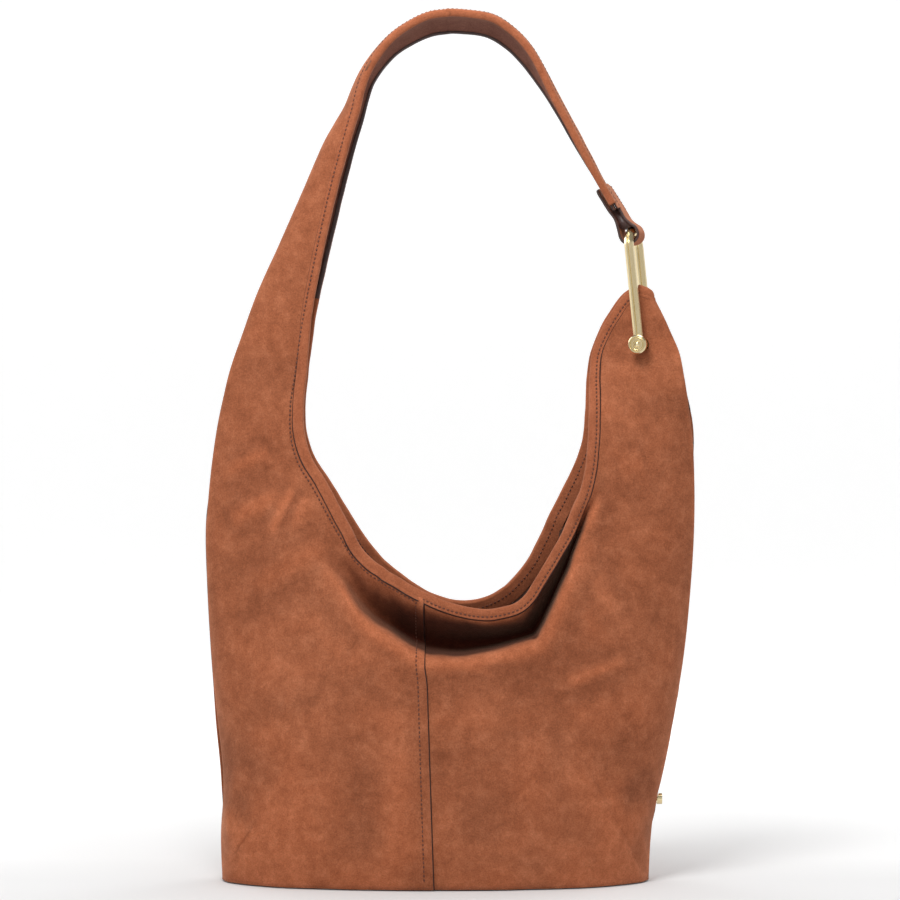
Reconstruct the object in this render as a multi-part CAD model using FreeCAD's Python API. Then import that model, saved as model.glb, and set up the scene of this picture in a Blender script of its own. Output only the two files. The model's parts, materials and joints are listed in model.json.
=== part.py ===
"""Hobo bag: slouching suede body, shoulder strap growing out of its left shoulder, brass shackle on the
pointed right horn, lined inside with a hanging zip pocket.

Frame: origin at the middle of the base, +X to the right as seen from the front, +Y to the back, +Z up.
All sizes are in millimetres.
"""

import FreeCAD
import Part
import math
import os

V = FreeCAD.Vector
os.makedirs("parts", exist_ok=True)

# ---------------------------------------------------------------- driving dimensions

SUEDE = 2.0                 # wall thickness of the suede panels
LINING = 1.2                # thickness of the lining behind them
BOARD = 2.5                 # base board
BASE_SKIN = 2.0             # suede under the base board
BINDING = 1.0               # how far the rim binding stands proud of the wall it wraps
BINDING_WIDTH = 8.0         # height of the binding band below the mouth's edge

# Horizontal sections of the body: height, left end, right end, half depth.
BODY_SECTIONS = [
    (0.0, -157.0, 155.5, 56.0),
    (30.0, -157.5, 156.5, 57.0),
    (70.0, -156.5, 163.5, 56.0),
    (120.0, -161.0, 173.5, 52.0),
    (170.0, -165.0, 181.5, 46.0),
    (215.0, -167.5, 186.0, 39.0),
    (250.0, -168.5, 188.3, 33.0),
    (290.0, -166.0, 188.7, 27.0),
    (330.0, -160.5, 187.0, 21.5),
    (372.0, -151.0, 180.0, 16.5),
]

# Edge of the mouth in the XZ plane, from the left neck, down to the lowest point, up to the horn.
MOUTH_EDGE = [
    (-93.0, 392.0), (-96.6, 355.0), (-95.5, 324.0), (-88.7, 303.0), (-69.0, 274.5), (-44.9, 240.0),
    (-17.2, 216.0), (20.0, 203.0), (50.7, 214.0), (70.4, 238.0), (85.0, 269.4), (99.6, 297.8),
    (108.4, 325.0), (111.3, 364.0), (115.0, 392.0),
]

SEAM_TOP_X = -9.0           # centre seam, at the height of the mouth
SEAM_BASE_X = -2.0          # centre seam, at the base
SEAM_TOP_Z = 205.0

FOLD_LOW = 330.0            # the neck and the horn fold between these two heights
FOLD_HIGH = 370.0
FOLD_GAP = 0.3              # clearance above the fold

# Strap, from the neck round the arch to the tab. Its section is half an ellipse, open towards the
# mouth: crest (X, Z), middle between the two edges (X, Z), half of the vector from front to back edge.
STRAP_STATIONS = [
    ((-149.2, 370.3), (-95.6, 370.3), (0.0, 10.9, 0.0)),
    ((-130.4, 424.1), (-91.5, 409.5), (1.0, 10.0, 0.0)),
    ((-115.8, 456.8), (-85.2, 443.0), (1.5, 10.0, -0.5)),
    ((-94.5, 505.0), (-73.7, 494.9), (1.8, 11.5, -0.7)),
    ((-79.9, 538.5), (-64.6, 531.3), (1.5, 13.0, -0.7)),
    ((-65.2, 564.0), (-56.5, 560.5), (1.2, 14.5, -1.0)),
    ((-54.5, 588.5), (-49.4, 584.6), (1.2, 15.5, -1.5)),
    ((-34.5, 613.0), (-31.8, 609.0), (1.0, 16.0, -3.2)),
    ((-4.6, 629.5), (-3.6, 624.8), (0.6, 16.5, -4.3)),
    ((24.2, 630.5), (23.3, 626.0), (-0.8, 16.5, -4.0)),
    ((46.8, 625.0), (44.6, 620.4), (-1.7, 16.5, -3.4)),
    ((68.4, 605.2), (65.2, 602.0), (-2.5, 16.5, -1.3)),
    ((87.5, 572.3), (84.8, 570.6), (-0.4, 16.3, 0.6)),
    ((106.6, 537.3), (104.2, 535.7), (0.3, 14.0, 0.8)),
    ((117.6, 516.0), (116.2, 515.2), (0.5, 10.5, 0.8)),
    ((124.0, 504.3), (122.9, 503.7), (0.6, 8.0, 0.4)),
    ((131.8, 489.9), (131.0, 489.4), (0.6, 6.5, 0.4)),
]
STRAP_SKIN = 1.6            # suede on the outer face of the strap
STRAP_CORE = 1.4            # webbing inside it
STRAP_LINING = 1.4          # leather on its inner face
CORE_SPAN = (3.0, 14.6)
CORE_PLAY = 0.45            # each side, to the skins
BAND_PLAY = 0.15
THIN_NECK = 0.9             # how much thinner the lining is where the neck's fold is tight
THIN_UNTIL = 3.0            # station where it reaches its full thickness
FLATTEN = (2.0, 6.0)        # stations over which the section changes from half an ellipse to a flat arch
BAND_END = 14.4             # station where the strap's edge bindings stop, at the tab
BAND_WIDTH = 7.0            # binding along each edge of the strap
BAND_PROUD = 0.9

# Horn and shackle
PIN_CENTRE = V(151.5, 0.0, 390.6)
SHACKLE_YAW = 20.0          # turn of the pin about +Z, from +Y towards +X
SHACKLE_TILT = 6.0          # lean of the shackle's legs towards the strap
HORN_OUTER = [(180.2, 370.3), (175.6, 389.0), (166.0, 411.0), (157.0, 429.5)]
HORN_INNER = [
    (157.0, 429.5), (154.0, 432.8), (148.0, 434.0), (139.8, 429.4), (127.4, 414.5), (118.6, 397.3),
    (113.4, 380.3), (111.6, 370.3),
]
HORN_SKIN = 2.0             # suede on each face of the horn
HORN_CORE = 6.0             # padded stiffener between them
HORN_BAND = 7.0             # binding along the horn's edge
GROMMET_FLANGE_R = 5.5
GROMMET_FLANGE = 0.8
GROMMET_R = 3.3
PIN_R = 2.5
PIN_CLEARANCE = 0.06

BAR = 6.4                   # shackle bar, across its flats
BAR_CHAMFER = 1.9
BAR_GROOVE = 0.45           # depth of the groove along each flat
LEG_SPACING = 25.0          # centre to centre of the two legs
LEG_LENGTH = 71.0           # pin axis to the start of the bend
EYE_R = 5.6                 # rounded foot of each leg round the pin

# Cap on each end of the pin: radius, height above the leg; from the centre's cone out to the rim.
CAP_PROFILE = [
    (0.0, 3.4), (0.7, 3.2), (1.6, 2.7), (2.3, 1.9), (2.8, 1.9), (3.2, 2.4), (4.0, 2.4), (4.4, 1.9),
    (4.9, 1.9), (5.4, 2.6), (6.2, 2.6), (6.9, 1.8), (6.9, 0.0),
]

# Leather tab, folded round the bend of the shackle: its middle line in the shackle's own XZ plane,
# from the end under the strap, round the bar, to the end on top of the strap.
TAB_LINE = [
    (-23.5, 116.6), (-19.3, 107.9), (-15.0, 98.7), (-11.0, 91.5), (-9.2, 85.0), (-7.9, 79.4),
    (-5.2, 75.9), (-1.4, 74.7), (2.6, 75.6), (5.6, 78.8), (6.3, 84.0), (4.4, 89.8), (-0.2, 94.4),
    (-3.9, 99.6), (-7.5, 105.6), (-11.6, 113.2), (-15.4, 120.8),
]
TAB_WIDTH = 12.0
TAB_SKIN = 2.0
TAB_CLEARANCE = 0.4  # each side of the strap end

# Zip pocket that hangs from the back of the lining
POCKET_X = 18.0
POCKET_WIDTH = 150.0
POCKET_FRONT = 20.0         # Y of its front cloth
POCKET_THICK = 4.8          # front cloth to back cloth, outside
POCKET_TOP = 168.0
POCKET_BOTTOM = 66.0
CLOTH = 0.8
HEADER_DROP = 12.0          # strip of cloth above the zip
HEADER_SHELF = 3.0          # thickness of the strip that joins the pocket to the lining
ZIP_Z = 152.0
ZIP_HALF = 72.0             # half the length of the tapes
TAPE_HEIGHT = 9.0
SLIT = 1.2                  # clear way between the two rows of teeth, for the slider's post
TOOTH = (1.3, 1.5, 1.4)     # length, depth, height
TOOTH_PITCH = 2.6
TEETH_HALF = 62.0           # half the length of the row of teeth
SLIDER_HALF = 4.6           # half the slider's length
SLIDER_PLATE = 0.9
SLIDER_HEIGHT = 7.0
SLIDER_PLAY = 0.5           # between the plates and the teeth
SLIDER_HOME = 54.0          # slider's place at rest, to the right of the pocket's middle
BRIDGE_R = 0.6
BRIDGE_OUT = 1.6            # how far the bridge bar stands in front of the slider
PULLER_LENGTH = 20.0
PULLER_HEIGHT = 5.0
PULLER_THICK = 1.0
PULLER_PLAY = 0.08

# Snap and stud
STUD_Z = 59.5
STUD_R = 4.0
STUD_SHANK_R = 1.6
STUD_TIP = 164.6
WASHER_FACE = 155.5

FAR = 400.0                 # reaches past everything

# ---------------------------------------------------------------- helpers

def save(name, shape):
    """Writes one sub-part."""
    shape.exportStep("parts/%s.step" % name)
    state = (name, len(shape.Solids), shape.Volume, shape.isValid())
    print("%-22s solids %3d  volume %9.1f  valid %s" % state)


def shifted(shape, by):
    """A moved copy."""
    moved = shape.copy()
    moved.translate(by)
    return moved


def box(x_span, y_span, z_span):
    """A box from its three spans."""
    size = [span[1] - span[0] for span in (x_span, y_span, z_span)]
    return Part.makeBox(*size, V(x_span[0], y_span[0], z_span[0]))


def spline(points):
    """A smooth curve through points."""
    curve = Part.BSplineCurve()
    curve.interpolate(points)
    return curve


def guide(points):
    """A smooth curve through points that passes point number n at parameter n."""
    curve = Part.BSplineCurve()
    curve.interpolate(Points=points, Parameters=[float(n) for n in range(len(points))])
    return curve


def offset_curve(curve, distance, samples=40):
    """Points along a curve in the XZ plane, moved sideways, to the right of its direction."""
    points = []
    for step in range(samples + 1):
        at = curve.FirstParameter + (curve.LastParameter - curve.FirstParameter) * step / samples
        tangent = curve.tangent(at)[0]
        points.append(curve.value(at) + V(tangent.z, 0, -tangent.x) * distance)
    return points


# ---------------------------------------------------------------- body

def body_loft(inset):
    """The body as one closed form, shrunk on every side by inset."""
    wires = []
    for height, left, right, half_depth in BODY_SECTIONS:
        centre = V((left + right) / 2, 0, height)
        ring = Part.Ellipse(centre, (right - left) / 2 - inset, half_depth - inset)
        wires.append(Part.Wire(ring.toShape()))
    return Part.makeLoft(wires, True, False)


def mouth_prism(growth):
    """Everything above the mouth's edge, with that edge moved outwards by growth."""
    edge = spline([V(x, 0, z) for x, z in MOUTH_EDGE])
    points = offset_curve(edge, growth)
    rise = V(0, 0, 60)
    rim = spline(points).toShape()
    closing = Part.makePolygon([points[-1], points[-1] + rise, points[0] + rise, points[0]])
    outline = Part.Wire([rim] + closing.Edges)
    return shifted(Part.Face(outline).extrude(V(0, FAR, 0)), V(0, -FAR / 2, 0))


def seam_prism():
    """Everything to the left of the centre seam."""
    slope = (SEAM_TOP_X - SEAM_BASE_X) / SEAM_TOP_Z
    foot = V(SEAM_BASE_X - slope * FAR, -FAR / 2, -FAR)
    head = V(SEAM_BASE_X + slope * FAR, -FAR / 2, FAR)
    left = V(-FAR, 0, 0)
    face = Part.Face(Part.makePolygon([foot, head, head + left, foot + left, foot]))
    return face.extrude(V(0, FAR, 0))


FRONT = box((-FAR, FAR), (-FAR, 0), (-FAR, FAR))
LOWER = box((-FAR, FAR), (-FAR, FAR), (BASE_SKIN, FOLD_LOW))
LEFT = seam_prism()
MOUTH = mouth_prism(0)
SUEDE_OUT = body_loft(0)
SUEDE_IN = body_loft(SUEDE)
LINING_IN = body_loft(SUEDE + LINING)
SHANK = Part.makeCylinder(STUD_SHANK_R, STUD_TIP - WASHER_FACE, V(WASHER_FACE, 0, STUD_Z), V(1, 0, 0))


def make_body():
    """Suede panels, base, lining and the folds above them."""
    floor_top = BASE_SKIN + BOARD + LINING
    suede = SUEDE_OUT.cut(SUEDE_IN).common(LOWER).cut(MOUTH).cut(SHANK)
    front = suede.common(FRONT)
    back = suede.cut(FRONT)
    save("front_left_panel", front.common(LEFT))
    save("front_right_panel", front.cut(LEFT))
    save("back_left_panel", back.common(LEFT))
    save("back_right_panel", back.cut(LEFT))

    save("base_panel", SUEDE_OUT.common(box((-FAR, FAR), (-FAR, FAR), (0, BASE_SKIN))))
    save("base_board", SUEDE_IN.common(box((-FAR, FAR), (-FAR, FAR), (BASE_SKIN, BASE_SKIN + BOARD))))
    save("lining_base", SUEDE_IN.common(box((-FAR, FAR), (-FAR, FAR), (BASE_SKIN + BOARD, floor_top))))

    inner = SUEDE_IN.cut(LINING_IN).common(box((-FAR, FAR), (-FAR, FAR), (floor_top, FOLD_LOW))).cut(MOUTH).cut(SHANK)
    save("lining_front", inner.common(FRONT))
    save("lining_back", inner.cut(FRONT))

    band = body_loft(-BINDING).cut(body_loft(SUEDE + LINING + BINDING))
    band = band.common(mouth_prism(BINDING_WIDTH).cut(mouth_prism(-BINDING))).common(LOWER)
    wall = SUEDE_OUT.cut(LINING_IN).cut(MOUTH)
    band = band.cut(wall)
    save("front_rim_binding", band.common(FRONT))
    save("back_rim_binding", band.cut(FRONT))

    folds = wall.common(box((-FAR, FAR), (-FAR, FAR), (FOLD_LOW, FOLD_HIGH)))
    left_side = box((-FAR, 0), (-FAR, FAR), (0, FAR))
    save("neck_fold", folds.common(left_side))
    save("horn_fold", folds.cut(left_side))


# ---------------------------------------------------------------- strap

CREST = guide([V(crest[0], 0, crest[1]) for crest, middle, half in STRAP_STATIONS])
MIDDLE = guide([V(middle[0], 0, middle[1]) for crest, middle, half in STRAP_STATIONS])
HALF = guide([V(*half) for crest, middle, half in STRAP_STATIONS])
STRAP_HALF = (STRAP_SKIN + STRAP_CORE + STRAP_LINING) / 2
STRAP_LAST = len(STRAP_STATIONS) - 1


def strap_middle(station, angle):
    """A point of the strap's middle surface: angle -90 is its front edge, 0 its crest, 90 its back edge.
    The section is half an ellipse in the neck and a flat arch round the shoulder."""
    flatness = min(1.0, max(0.0, (station - FLATTEN[0]) / (FLATTEN[1] - FLATTEN[0])))
    middle = MIDDLE.value(station)
    rise = CREST.value(station) - middle
    turn = math.radians(max(-90.0, min(90.0, angle)))
    lift = max(0.0, math.cos(turn)) ** (1.0 + flatness)
    return middle + rise * lift + HALF.value(station) * math.sin(turn)


def strap_point(station, angle, offset):
    """A point of the strap at a distance outside its middle surface."""
    along = strap_middle(station, angle + 1.0) - strap_middle(station, angle - 1.0)
    rise = CREST.value(station) - MIDDLE.value(station)
    across = HALF.value(station).cross(rise)
    normal = across.cross(along)
    normal.normalize()
    return strap_middle(station, angle) + normal * offset


def band_angle(station, width):
    """How far in from the edge, in degrees, a band of the given width reaches."""
    angle = -90.0
    last = strap_point(station, angle, 0)
    walked = 0.0
    while walked < width and angle < -5.0:
        angle += 2.0
        point = strap_point(station, angle, 0)
        walked += (point - last).Length
        last = point
    return angle + 90.0


def strap_section(station, low, high, first, last):
    """Closed wire round one layer of the strap's section."""
    samples = 9
    outer = []
    inner = []
    for step in range(samples):
        angle = first + (last - first) * step / (samples - 1)
        outer.append(strap_point(station, angle, high))
        inner.append(strap_point(station, angle, low))
    inner.reverse()
    return Part.Wire([
        spline(outer).toShape(),
        Part.LineSegment(outer[-1], inner[0]).toShape(),
        spline(inner).toShape(),
        Part.LineSegment(inner[-1], outer[0]).toShape(),
    ])


def strap_layer(offsets, angles, span):
    """One layer of the strap. offsets and angles give the layer's limits at a station."""
    steps = 30
    wires = []
    for step in range(steps + 1):
        station = span[0] + (span[1] - span[0]) * step / steps
        wires.append(strap_section(station, *offsets(station), *angles(station)))
    return Part.makeLoft(wires, True, False)


def make_strap():
    """Outer suede, core, lining and the two edge bindings of the strap."""
    outer_face = STRAP_HALF
    core_top = STRAP_HALF - STRAP_SKIN
    core_low = STRAP_LINING - STRAP_HALF
    core_inset = 2.0
    whole = (0.0, float(STRAP_LAST))

    def lining_offsets(station):
        thinner = THIN_NECK * max(0.0, 1.0 - station / THIN_UNTIL)
        return thinner - STRAP_HALF, core_low + thinner

    def skin_offsets(station):
        return core_top, outer_face

    def core_offsets(station):
        return core_low + CORE_PLAY, core_top - CORE_PLAY

    def band_offsets(station):
        return outer_face + BAND_PLAY, outer_face + BAND_PROUD

    def all_round(station):
        return -90.0, 90.0

    def inside_edges(station):
        inset = band_angle(station, core_inset)
        return -90.0 + inset, 90.0 - inset

    def front_band(station):
        return -90.0, -90.0 + band_angle(station, BAND_WIDTH)

    def back_band(station):
        return 90.0 - band_angle(station, BAND_WIDTH), 90.0

    skin = strap_layer(skin_offsets, all_round, whole)
    lining = strap_layer(lining_offsets, all_round, whole)
    save("strap_outer", skin)
    save("strap_lining", lining)
    save("strap_core", strap_layer(core_offsets, inside_edges, CORE_SPAN))
    save("strap_front_binding", strap_layer(band_offsets, front_band, (0.0, BAND_END)))
    save("strap_back_binding", strap_layer(band_offsets, back_band, (0.0, BAND_END)))


# ---------------------------------------------------------------- shackle, in its own upright frame

def shackle_place(shape):
    """Moves a shape from the shackle's frame (pin along +Y, legs up +Z) to its place on the horn."""
    placed = shape.copy()
    placed.rotate(V(0, 0, 0), V(0, 1, 0), -SHACKLE_TILT)
    placed.rotate(V(0, 0, 0), V(0, 0, 1), -SHACKLE_YAW)
    placed.translate(PIN_CENTRE)
    return placed


def bar_section(centre, first, second):
    """Chamfered square section of the shackle's bar, with a shallow groove along each flat."""
    half = BAR / 2
    flat = half - BAR_CHAMFER
    side = [
        (half, -flat), (half, -BAR_GROOVE), (half - BAR_GROOVE, 0), (half, BAR_GROOVE), (half, flat),
    ]
    corners = []
    for quarter in range(4):
        turn = math.radians(90 * quarter)
        for x, y in side:
            u = x * math.cos(turn) - y * math.sin(turn)
            v = x * math.sin(turn) + y * math.cos(turn)
            corners.append(centre + first * u + second * v)
    return Part.Face(Part.makePolygon(corners + corners[:1]))


def make_shackle():
    """U bar, its eyes, the pin through the horn and the ringed caps."""
    reach = LEG_SPACING / 2
    parts = []
    for side in (-1, 1):
        foot = bar_section(V(0, side * reach, 0), V(1, 0, 0), V(0, 1, 0))
        parts.append(foot.extrude(V(0, 0, LEG_LENGTH)))
        eye = Part.makeCylinder(EYE_R, BAR, V(0, side * reach - BAR / 2, 0), V(0, 1, 0))
        parts.append(eye)
    turned = bar_section(V(0, -reach, LEG_LENGTH), V(1, 0, 0), V(0, 1, 0))
    parts.append(turned.revolve(V(0, 0, LEG_LENGTH), V(-1, 0, 0), 180))
    bar = parts[0].multiFuse(parts[1:])
    bore = Part.makeCylinder(PIN_R, 60, V(0, -30, 0), V(0, 1, 0))
    save("shackle", shackle_place(bar.cut(bore)))

    tip = reach + BAR / 2
    pin = Part.makeCylinder(PIN_R, 2 * tip, V(0, -tip, 0), V(0, 1, 0))
    save("shackle_pin", shackle_place(pin))

    for name, side in (("pin_cap_front", -1), ("pin_cap_back", 1)):
        points = [V(0, side * tip, 0)] + [V(r, side * (tip + h), 0) for r, h in CAP_PROFILE]
        points.append(points[0])
        cap = Part.Face(Part.makePolygon(points)).revolve(V(0, 0, 0), V(0, 1, 0), 360)
        save(name, shackle_place(cap))


def make_tab():
    """Leather strip folded round the bend of the shackle, both ends on the strap."""
    line = spline([V(x, -TAB_WIDTH / 2, z) for x, z in TAB_LINE])
    left = offset_curve(line, TAB_SKIN / 2, 60)
    right = offset_curve(line, -TAB_SKIN / 2, 60)
    right.reverse()
    outline = Part.Wire([
        spline(left).toShape(),
        Part.LineSegment(left[-1], right[0]).toShape(),
        spline(right).toShape(),
        Part.LineSegment(right[-1], left[0]).toShape(),
    ])
    strip = shackle_place(Part.Face(outline).extrude(V(0, TAB_WIDTH, 0)))

    def grown(station):
        return -STRAP_HALF - TAB_CLEARANCE, STRAP_HALF + TAB_CLEARANCE

    def all_round(station):
        return -90.0, 90.0

    save("strap_tab", strip.cut(strap_layer(grown, all_round, (13.0, float(STRAP_LAST)))))


# ---------------------------------------------------------------- horn

def horn_place(shape):
    """Moves a shape from the horn's flat frame (pin along +Y through the origin) to its place."""
    placed = shape.copy()
    placed.rotate(V(0, 0, 0), V(0, 0, 1), -SHACKLE_YAW)
    placed.translate(PIN_CENTRE)
    return placed


def horn_points(outline, y):
    """Points of the horn's outline in its flat frame; the horn is turned, so it is wider than it looks."""
    widen = math.cos(math.radians(SHACKLE_YAW))
    return [V((x - PIN_CENTRE.x) / widen, y, z - PIN_CENTRE.z) for x, z in outline]


def horn_slab(low, high):
    """The horn's whole outline between two depths."""
    outer = horn_points(HORN_OUTER, low)
    inner = horn_points(HORN_INNER, low)
    outline = Part.Wire([
        spline(outer).toShape(),
        spline(inner).toShape(),
        Part.LineSegment(inner[-1], outer[0]).toShape(),
    ])
    return Part.Face(outline).extrude(V(0, high - low, 0))


def horn_strip(half_depth, proud):
    """Strip along the horn's inner edge and over its top, standing proud of the edge."""
    edge = spline(horn_points(HORN_INNER, -half_depth))
    outside = offset_curve(edge, proud)
    inside = offset_curve(edge, -HORN_BAND)
    inside.reverse()
    outline = Part.Wire([
        spline(outside).toShape(),
        Part.LineSegment(outside[-1], inside[0]).toShape(),
        spline(inside).toShape(),
        Part.LineSegment(inside[-1], outside[0]).toShape(),
    ])
    return Part.Face(outline).extrude(V(0, 2 * half_depth, 0))


def make_horn():
    """Two suede faces, the padded stiffener between them, the binding and the grommets for the pin."""
    core = HORN_CORE / 2
    skin = core + HORN_SKIN
    bore = Part.makeCylinder(GROMMET_R, FAR, V(0, -FAR / 2, 0), V(0, 1, 0))
    above = box((-FAR, FAR), (-FAR, FAR), (FOLD_HIGH + FOLD_GAP - PIN_CENTRE.z, FAR))
    save("horn_front_panel", horn_place(horn_slab(-skin, -core).cut(bore).common(above)))
    save("horn_back_panel", horn_place(horn_slab(core, skin).cut(bore).common(above)))
    save("horn_stiffener", horn_place(horn_slab(-core, core).cut(bore).common(above)))
    strip = horn_strip(skin + BAND_PROUD, BAND_PROUD).cut(horn_slab(-skin, skin)).common(above)
    save("horn_binding", horn_place(strip))
    for name, side in (("grommet_front", -1), ("grommet_back", 1)):
        flange = Part.makeCylinder(GROMMET_FLANGE_R, GROMMET_FLANGE, V(0, side * skin, 0), V(0, side, 0))
        tube = Part.makeCylinder(GROMMET_R, skin, V(0, 0, 0), V(0, side, 0))
        hole = Part.makeCylinder(PIN_R + PIN_CLEARANCE, FAR, V(0, -FAR / 2, 0), V(0, 1, 0))
        save(name, horn_place(flange.fuse(tube).cut(hole)))


# ---------------------------------------------------------------- inside

def make_pocket():
    """Hanging pocket: cloth faces, header, tapes, teeth, stops, slider and puller."""
    x_span = (POCKET_X - POCKET_WIDTH / 2, POCKET_X + POCKET_WIDTH / 2)
    front = POCKET_FRONT
    back = POCKET_FRONT + POCKET_THICK
    cloth_back = (back - CLOTH, back)
    save("pocket_back", box(x_span, cloth_back, (POCKET_BOTTOM, POCKET_TOP - HEADER_SHELF)))

    inner_x = (x_span[0] + CLOTH, x_span[1] - CLOTH)
    tray_top = ZIP_Z - TAPE_HEIGHT + 2.0
    tray = box(x_span, (front, back - CLOTH), (POCKET_BOTTOM, tray_top))
    hollow = box(inner_x, (front + CLOTH, back), (POCKET_BOTTOM + CLOTH, FAR))
    save("pocket_front", tray.cut(hollow))

    header = box(x_span, (front, front + CLOTH), (ZIP_Z + TAPE_HEIGHT - 5.0, POCKET_TOP - HEADER_SHELF))
    shelf = box(x_span, (front, FAR), (POCKET_TOP - HEADER_SHELF, POCKET_TOP)).common(LINING_IN)
    save("pocket_header", header.fuse(shelf))

    tape_y = (front + CLOTH, front + 2 * CLOTH)
    tape_x = (POCKET_X - ZIP_HALF, POCKET_X + ZIP_HALF)
    row = SLIT / 2 + TOOTH[2] / 2
    upper = box(tape_x, tape_y, (ZIP_Z + row, ZIP_Z + row + TAPE_HEIGHT))
    lower = box(tape_x, tape_y, (ZIP_Z - row - TAPE_HEIGHT, ZIP_Z - row))
    save("zip_tapes", Part.makeCompound([upper, lower]))

    middle_y = (tape_y[0] + tape_y[1]) / 2
    tooth_y = (middle_y - TOOTH[1] / 2, middle_y + TOOTH[1] / 2)
    tapes = upper.fuse(lower)
    teeth = []
    count = int(2 * TEETH_HALF / TOOTH_PITCH)
    for number in range(count):
        left = POCKET_X - TEETH_HALF + number * TOOTH_PITCH
        for side, lag in ((1, 0.0), (-1, TOOTH_PITCH / 2)):
            near = ZIP_Z + side * SLIT / 2
            far = near + side * TOOTH[2]
            tooth = box((left + lag, left + lag + TOOTH[0]), tooth_y, (min(near, far), max(near, far)))
            teeth.append(tooth.cut(tapes))
    save("zip_teeth", Part.makeCompound(teeth))

    stops = []
    for side in (-1, 1):
        near = POCKET_X + side * (TEETH_HALF + 2.5)
        far = near + side * 2.0
        stop = box((min(near, far), max(near, far)), tooth_y, (ZIP_Z - row - 2, ZIP_Z + row + 2))
        stops.append(stop.cut(tapes))
    save("zip_stops", Part.makeCompound(stops))

    home = POCKET_X + SLIDER_HOME
    slider_x = (home - SLIDER_HALF, home + SLIDER_HALF)
    slider_z = (ZIP_Z - SLIDER_HEIGHT / 2, ZIP_Z + SLIDER_HEIGHT / 2)
    face = tooth_y[0] - SLIDER_PLAY
    rear = tooth_y[1] + SLIDER_PLAY
    slider = box(slider_x, (face - SLIDER_PLATE, face), slider_z)
    slider = slider.fuse(box(slider_x, (rear, rear + SLIDER_PLATE), slider_z))
    slider = slider.fuse(box((home - 1.5, home + 1.5), (face, rear), (ZIP_Z - 0.4, ZIP_Z + 0.4)))
    bar_y = face - SLIDER_PLATE - BRIDGE_OUT
    bridge_half = 2.2
    bar = Part.makeCylinder(BRIDGE_R, 2 * bridge_half, V(home, bar_y, ZIP_Z - bridge_half), V(0, 0, 1))
    slider = slider.fuse(bar)
    for side in (-1, 1):
        post_z = sorted((ZIP_Z + side * (bridge_half - 0.8), ZIP_Z + side * bridge_half))
        slider = slider.fuse(box((home - BRIDGE_R, home + BRIDGE_R), (bar_y, face - SLIDER_PLATE), post_z))
    save("zip_slider", slider)

    eye_half = 1.2
    eye = Part.makeCylinder(BRIDGE_R + 0.7, 2 * eye_half, V(home, bar_y, ZIP_Z - eye_half), V(0, 0, 1))
    blade_y = (bar_y - PULLER_THICK / 2, bar_y + PULLER_THICK / 2)
    neck = box((home - 5.0, home), blade_y, (ZIP_Z - eye_half, ZIP_Z + eye_half))
    blade_z = (ZIP_Z - PULLER_HEIGHT / 2, ZIP_Z + PULLER_HEIGHT / 2)
    blade = box((home - PULLER_LENGTH, home - 5.0), blade_y, blade_z)
    hole = Part.makeCylinder(BRIDGE_R + PULLER_PLAY, FAR, V(home, bar_y, 0), V(0, 0, 1))
    save("zip_puller", eye.fuse(neck).fuse(blade).cut(hole))


def make_hardware():
    """The stud on the right side seam, with its washer inside."""
    head = Part.makeCylinder(STUD_R, STUD_TIP - PIN_CENTRE.x, V(PIN_CENTRE.x, 0, STUD_Z), V(1, 0, 0))
    head = head.cut(SUEDE_OUT)
    save("side_stud", head.fuse(SHANK))
    washer = Part.makeCylinder(STUD_R, FAR, V(WASHER_FACE, 0, STUD_Z), V(1, 0, 0)).common(LINING_IN)
    save("stud_washer", washer.cut(SHANK))


make_body()
make_strap()
make_shackle()
make_tab()
make_horn()
make_pocket()
make_hardware()
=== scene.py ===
"""Suede hobo bag: the looks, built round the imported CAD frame. Lengths are in millimetres until
a mesh is made; Z is up and the front of the bag faces -Y."""
import json
import math
import bpy
import numpy as np
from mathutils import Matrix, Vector, noise


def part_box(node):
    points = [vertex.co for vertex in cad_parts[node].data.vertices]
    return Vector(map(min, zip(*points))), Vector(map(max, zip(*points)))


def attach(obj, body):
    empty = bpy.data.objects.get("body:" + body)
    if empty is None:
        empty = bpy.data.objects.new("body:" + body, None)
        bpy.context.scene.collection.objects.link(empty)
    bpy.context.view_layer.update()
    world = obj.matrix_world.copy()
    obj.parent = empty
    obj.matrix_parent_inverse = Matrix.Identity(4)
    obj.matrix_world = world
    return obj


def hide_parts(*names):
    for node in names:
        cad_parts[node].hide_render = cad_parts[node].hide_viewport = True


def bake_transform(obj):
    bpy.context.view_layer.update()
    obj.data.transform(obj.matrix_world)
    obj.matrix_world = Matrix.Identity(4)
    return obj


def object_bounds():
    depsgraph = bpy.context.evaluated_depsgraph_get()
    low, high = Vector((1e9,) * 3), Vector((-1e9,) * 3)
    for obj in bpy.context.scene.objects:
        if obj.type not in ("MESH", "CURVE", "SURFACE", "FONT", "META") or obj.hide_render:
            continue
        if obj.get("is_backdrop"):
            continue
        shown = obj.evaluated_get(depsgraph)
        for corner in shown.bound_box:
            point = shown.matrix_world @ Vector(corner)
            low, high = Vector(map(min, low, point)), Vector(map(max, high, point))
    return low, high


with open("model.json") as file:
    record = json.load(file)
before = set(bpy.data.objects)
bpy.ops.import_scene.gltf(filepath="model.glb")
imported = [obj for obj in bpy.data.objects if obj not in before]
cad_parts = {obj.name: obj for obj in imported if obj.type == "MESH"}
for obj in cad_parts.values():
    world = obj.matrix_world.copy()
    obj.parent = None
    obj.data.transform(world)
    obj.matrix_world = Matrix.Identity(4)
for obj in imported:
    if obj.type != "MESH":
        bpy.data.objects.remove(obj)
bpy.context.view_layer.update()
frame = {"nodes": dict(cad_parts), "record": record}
nodes = frame["nodes"]

FRONT, BACK = -1.0, 1.0
COLUMN_STEP = 3.0
ROWS = 84
SKIN = 1.4
BAND_HALF = 2.75
BAND_CENTRE = -1.6
SEAM_LIFT = 1.5
PIN = np.array([151.5, 0.0, 390.6])


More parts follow.
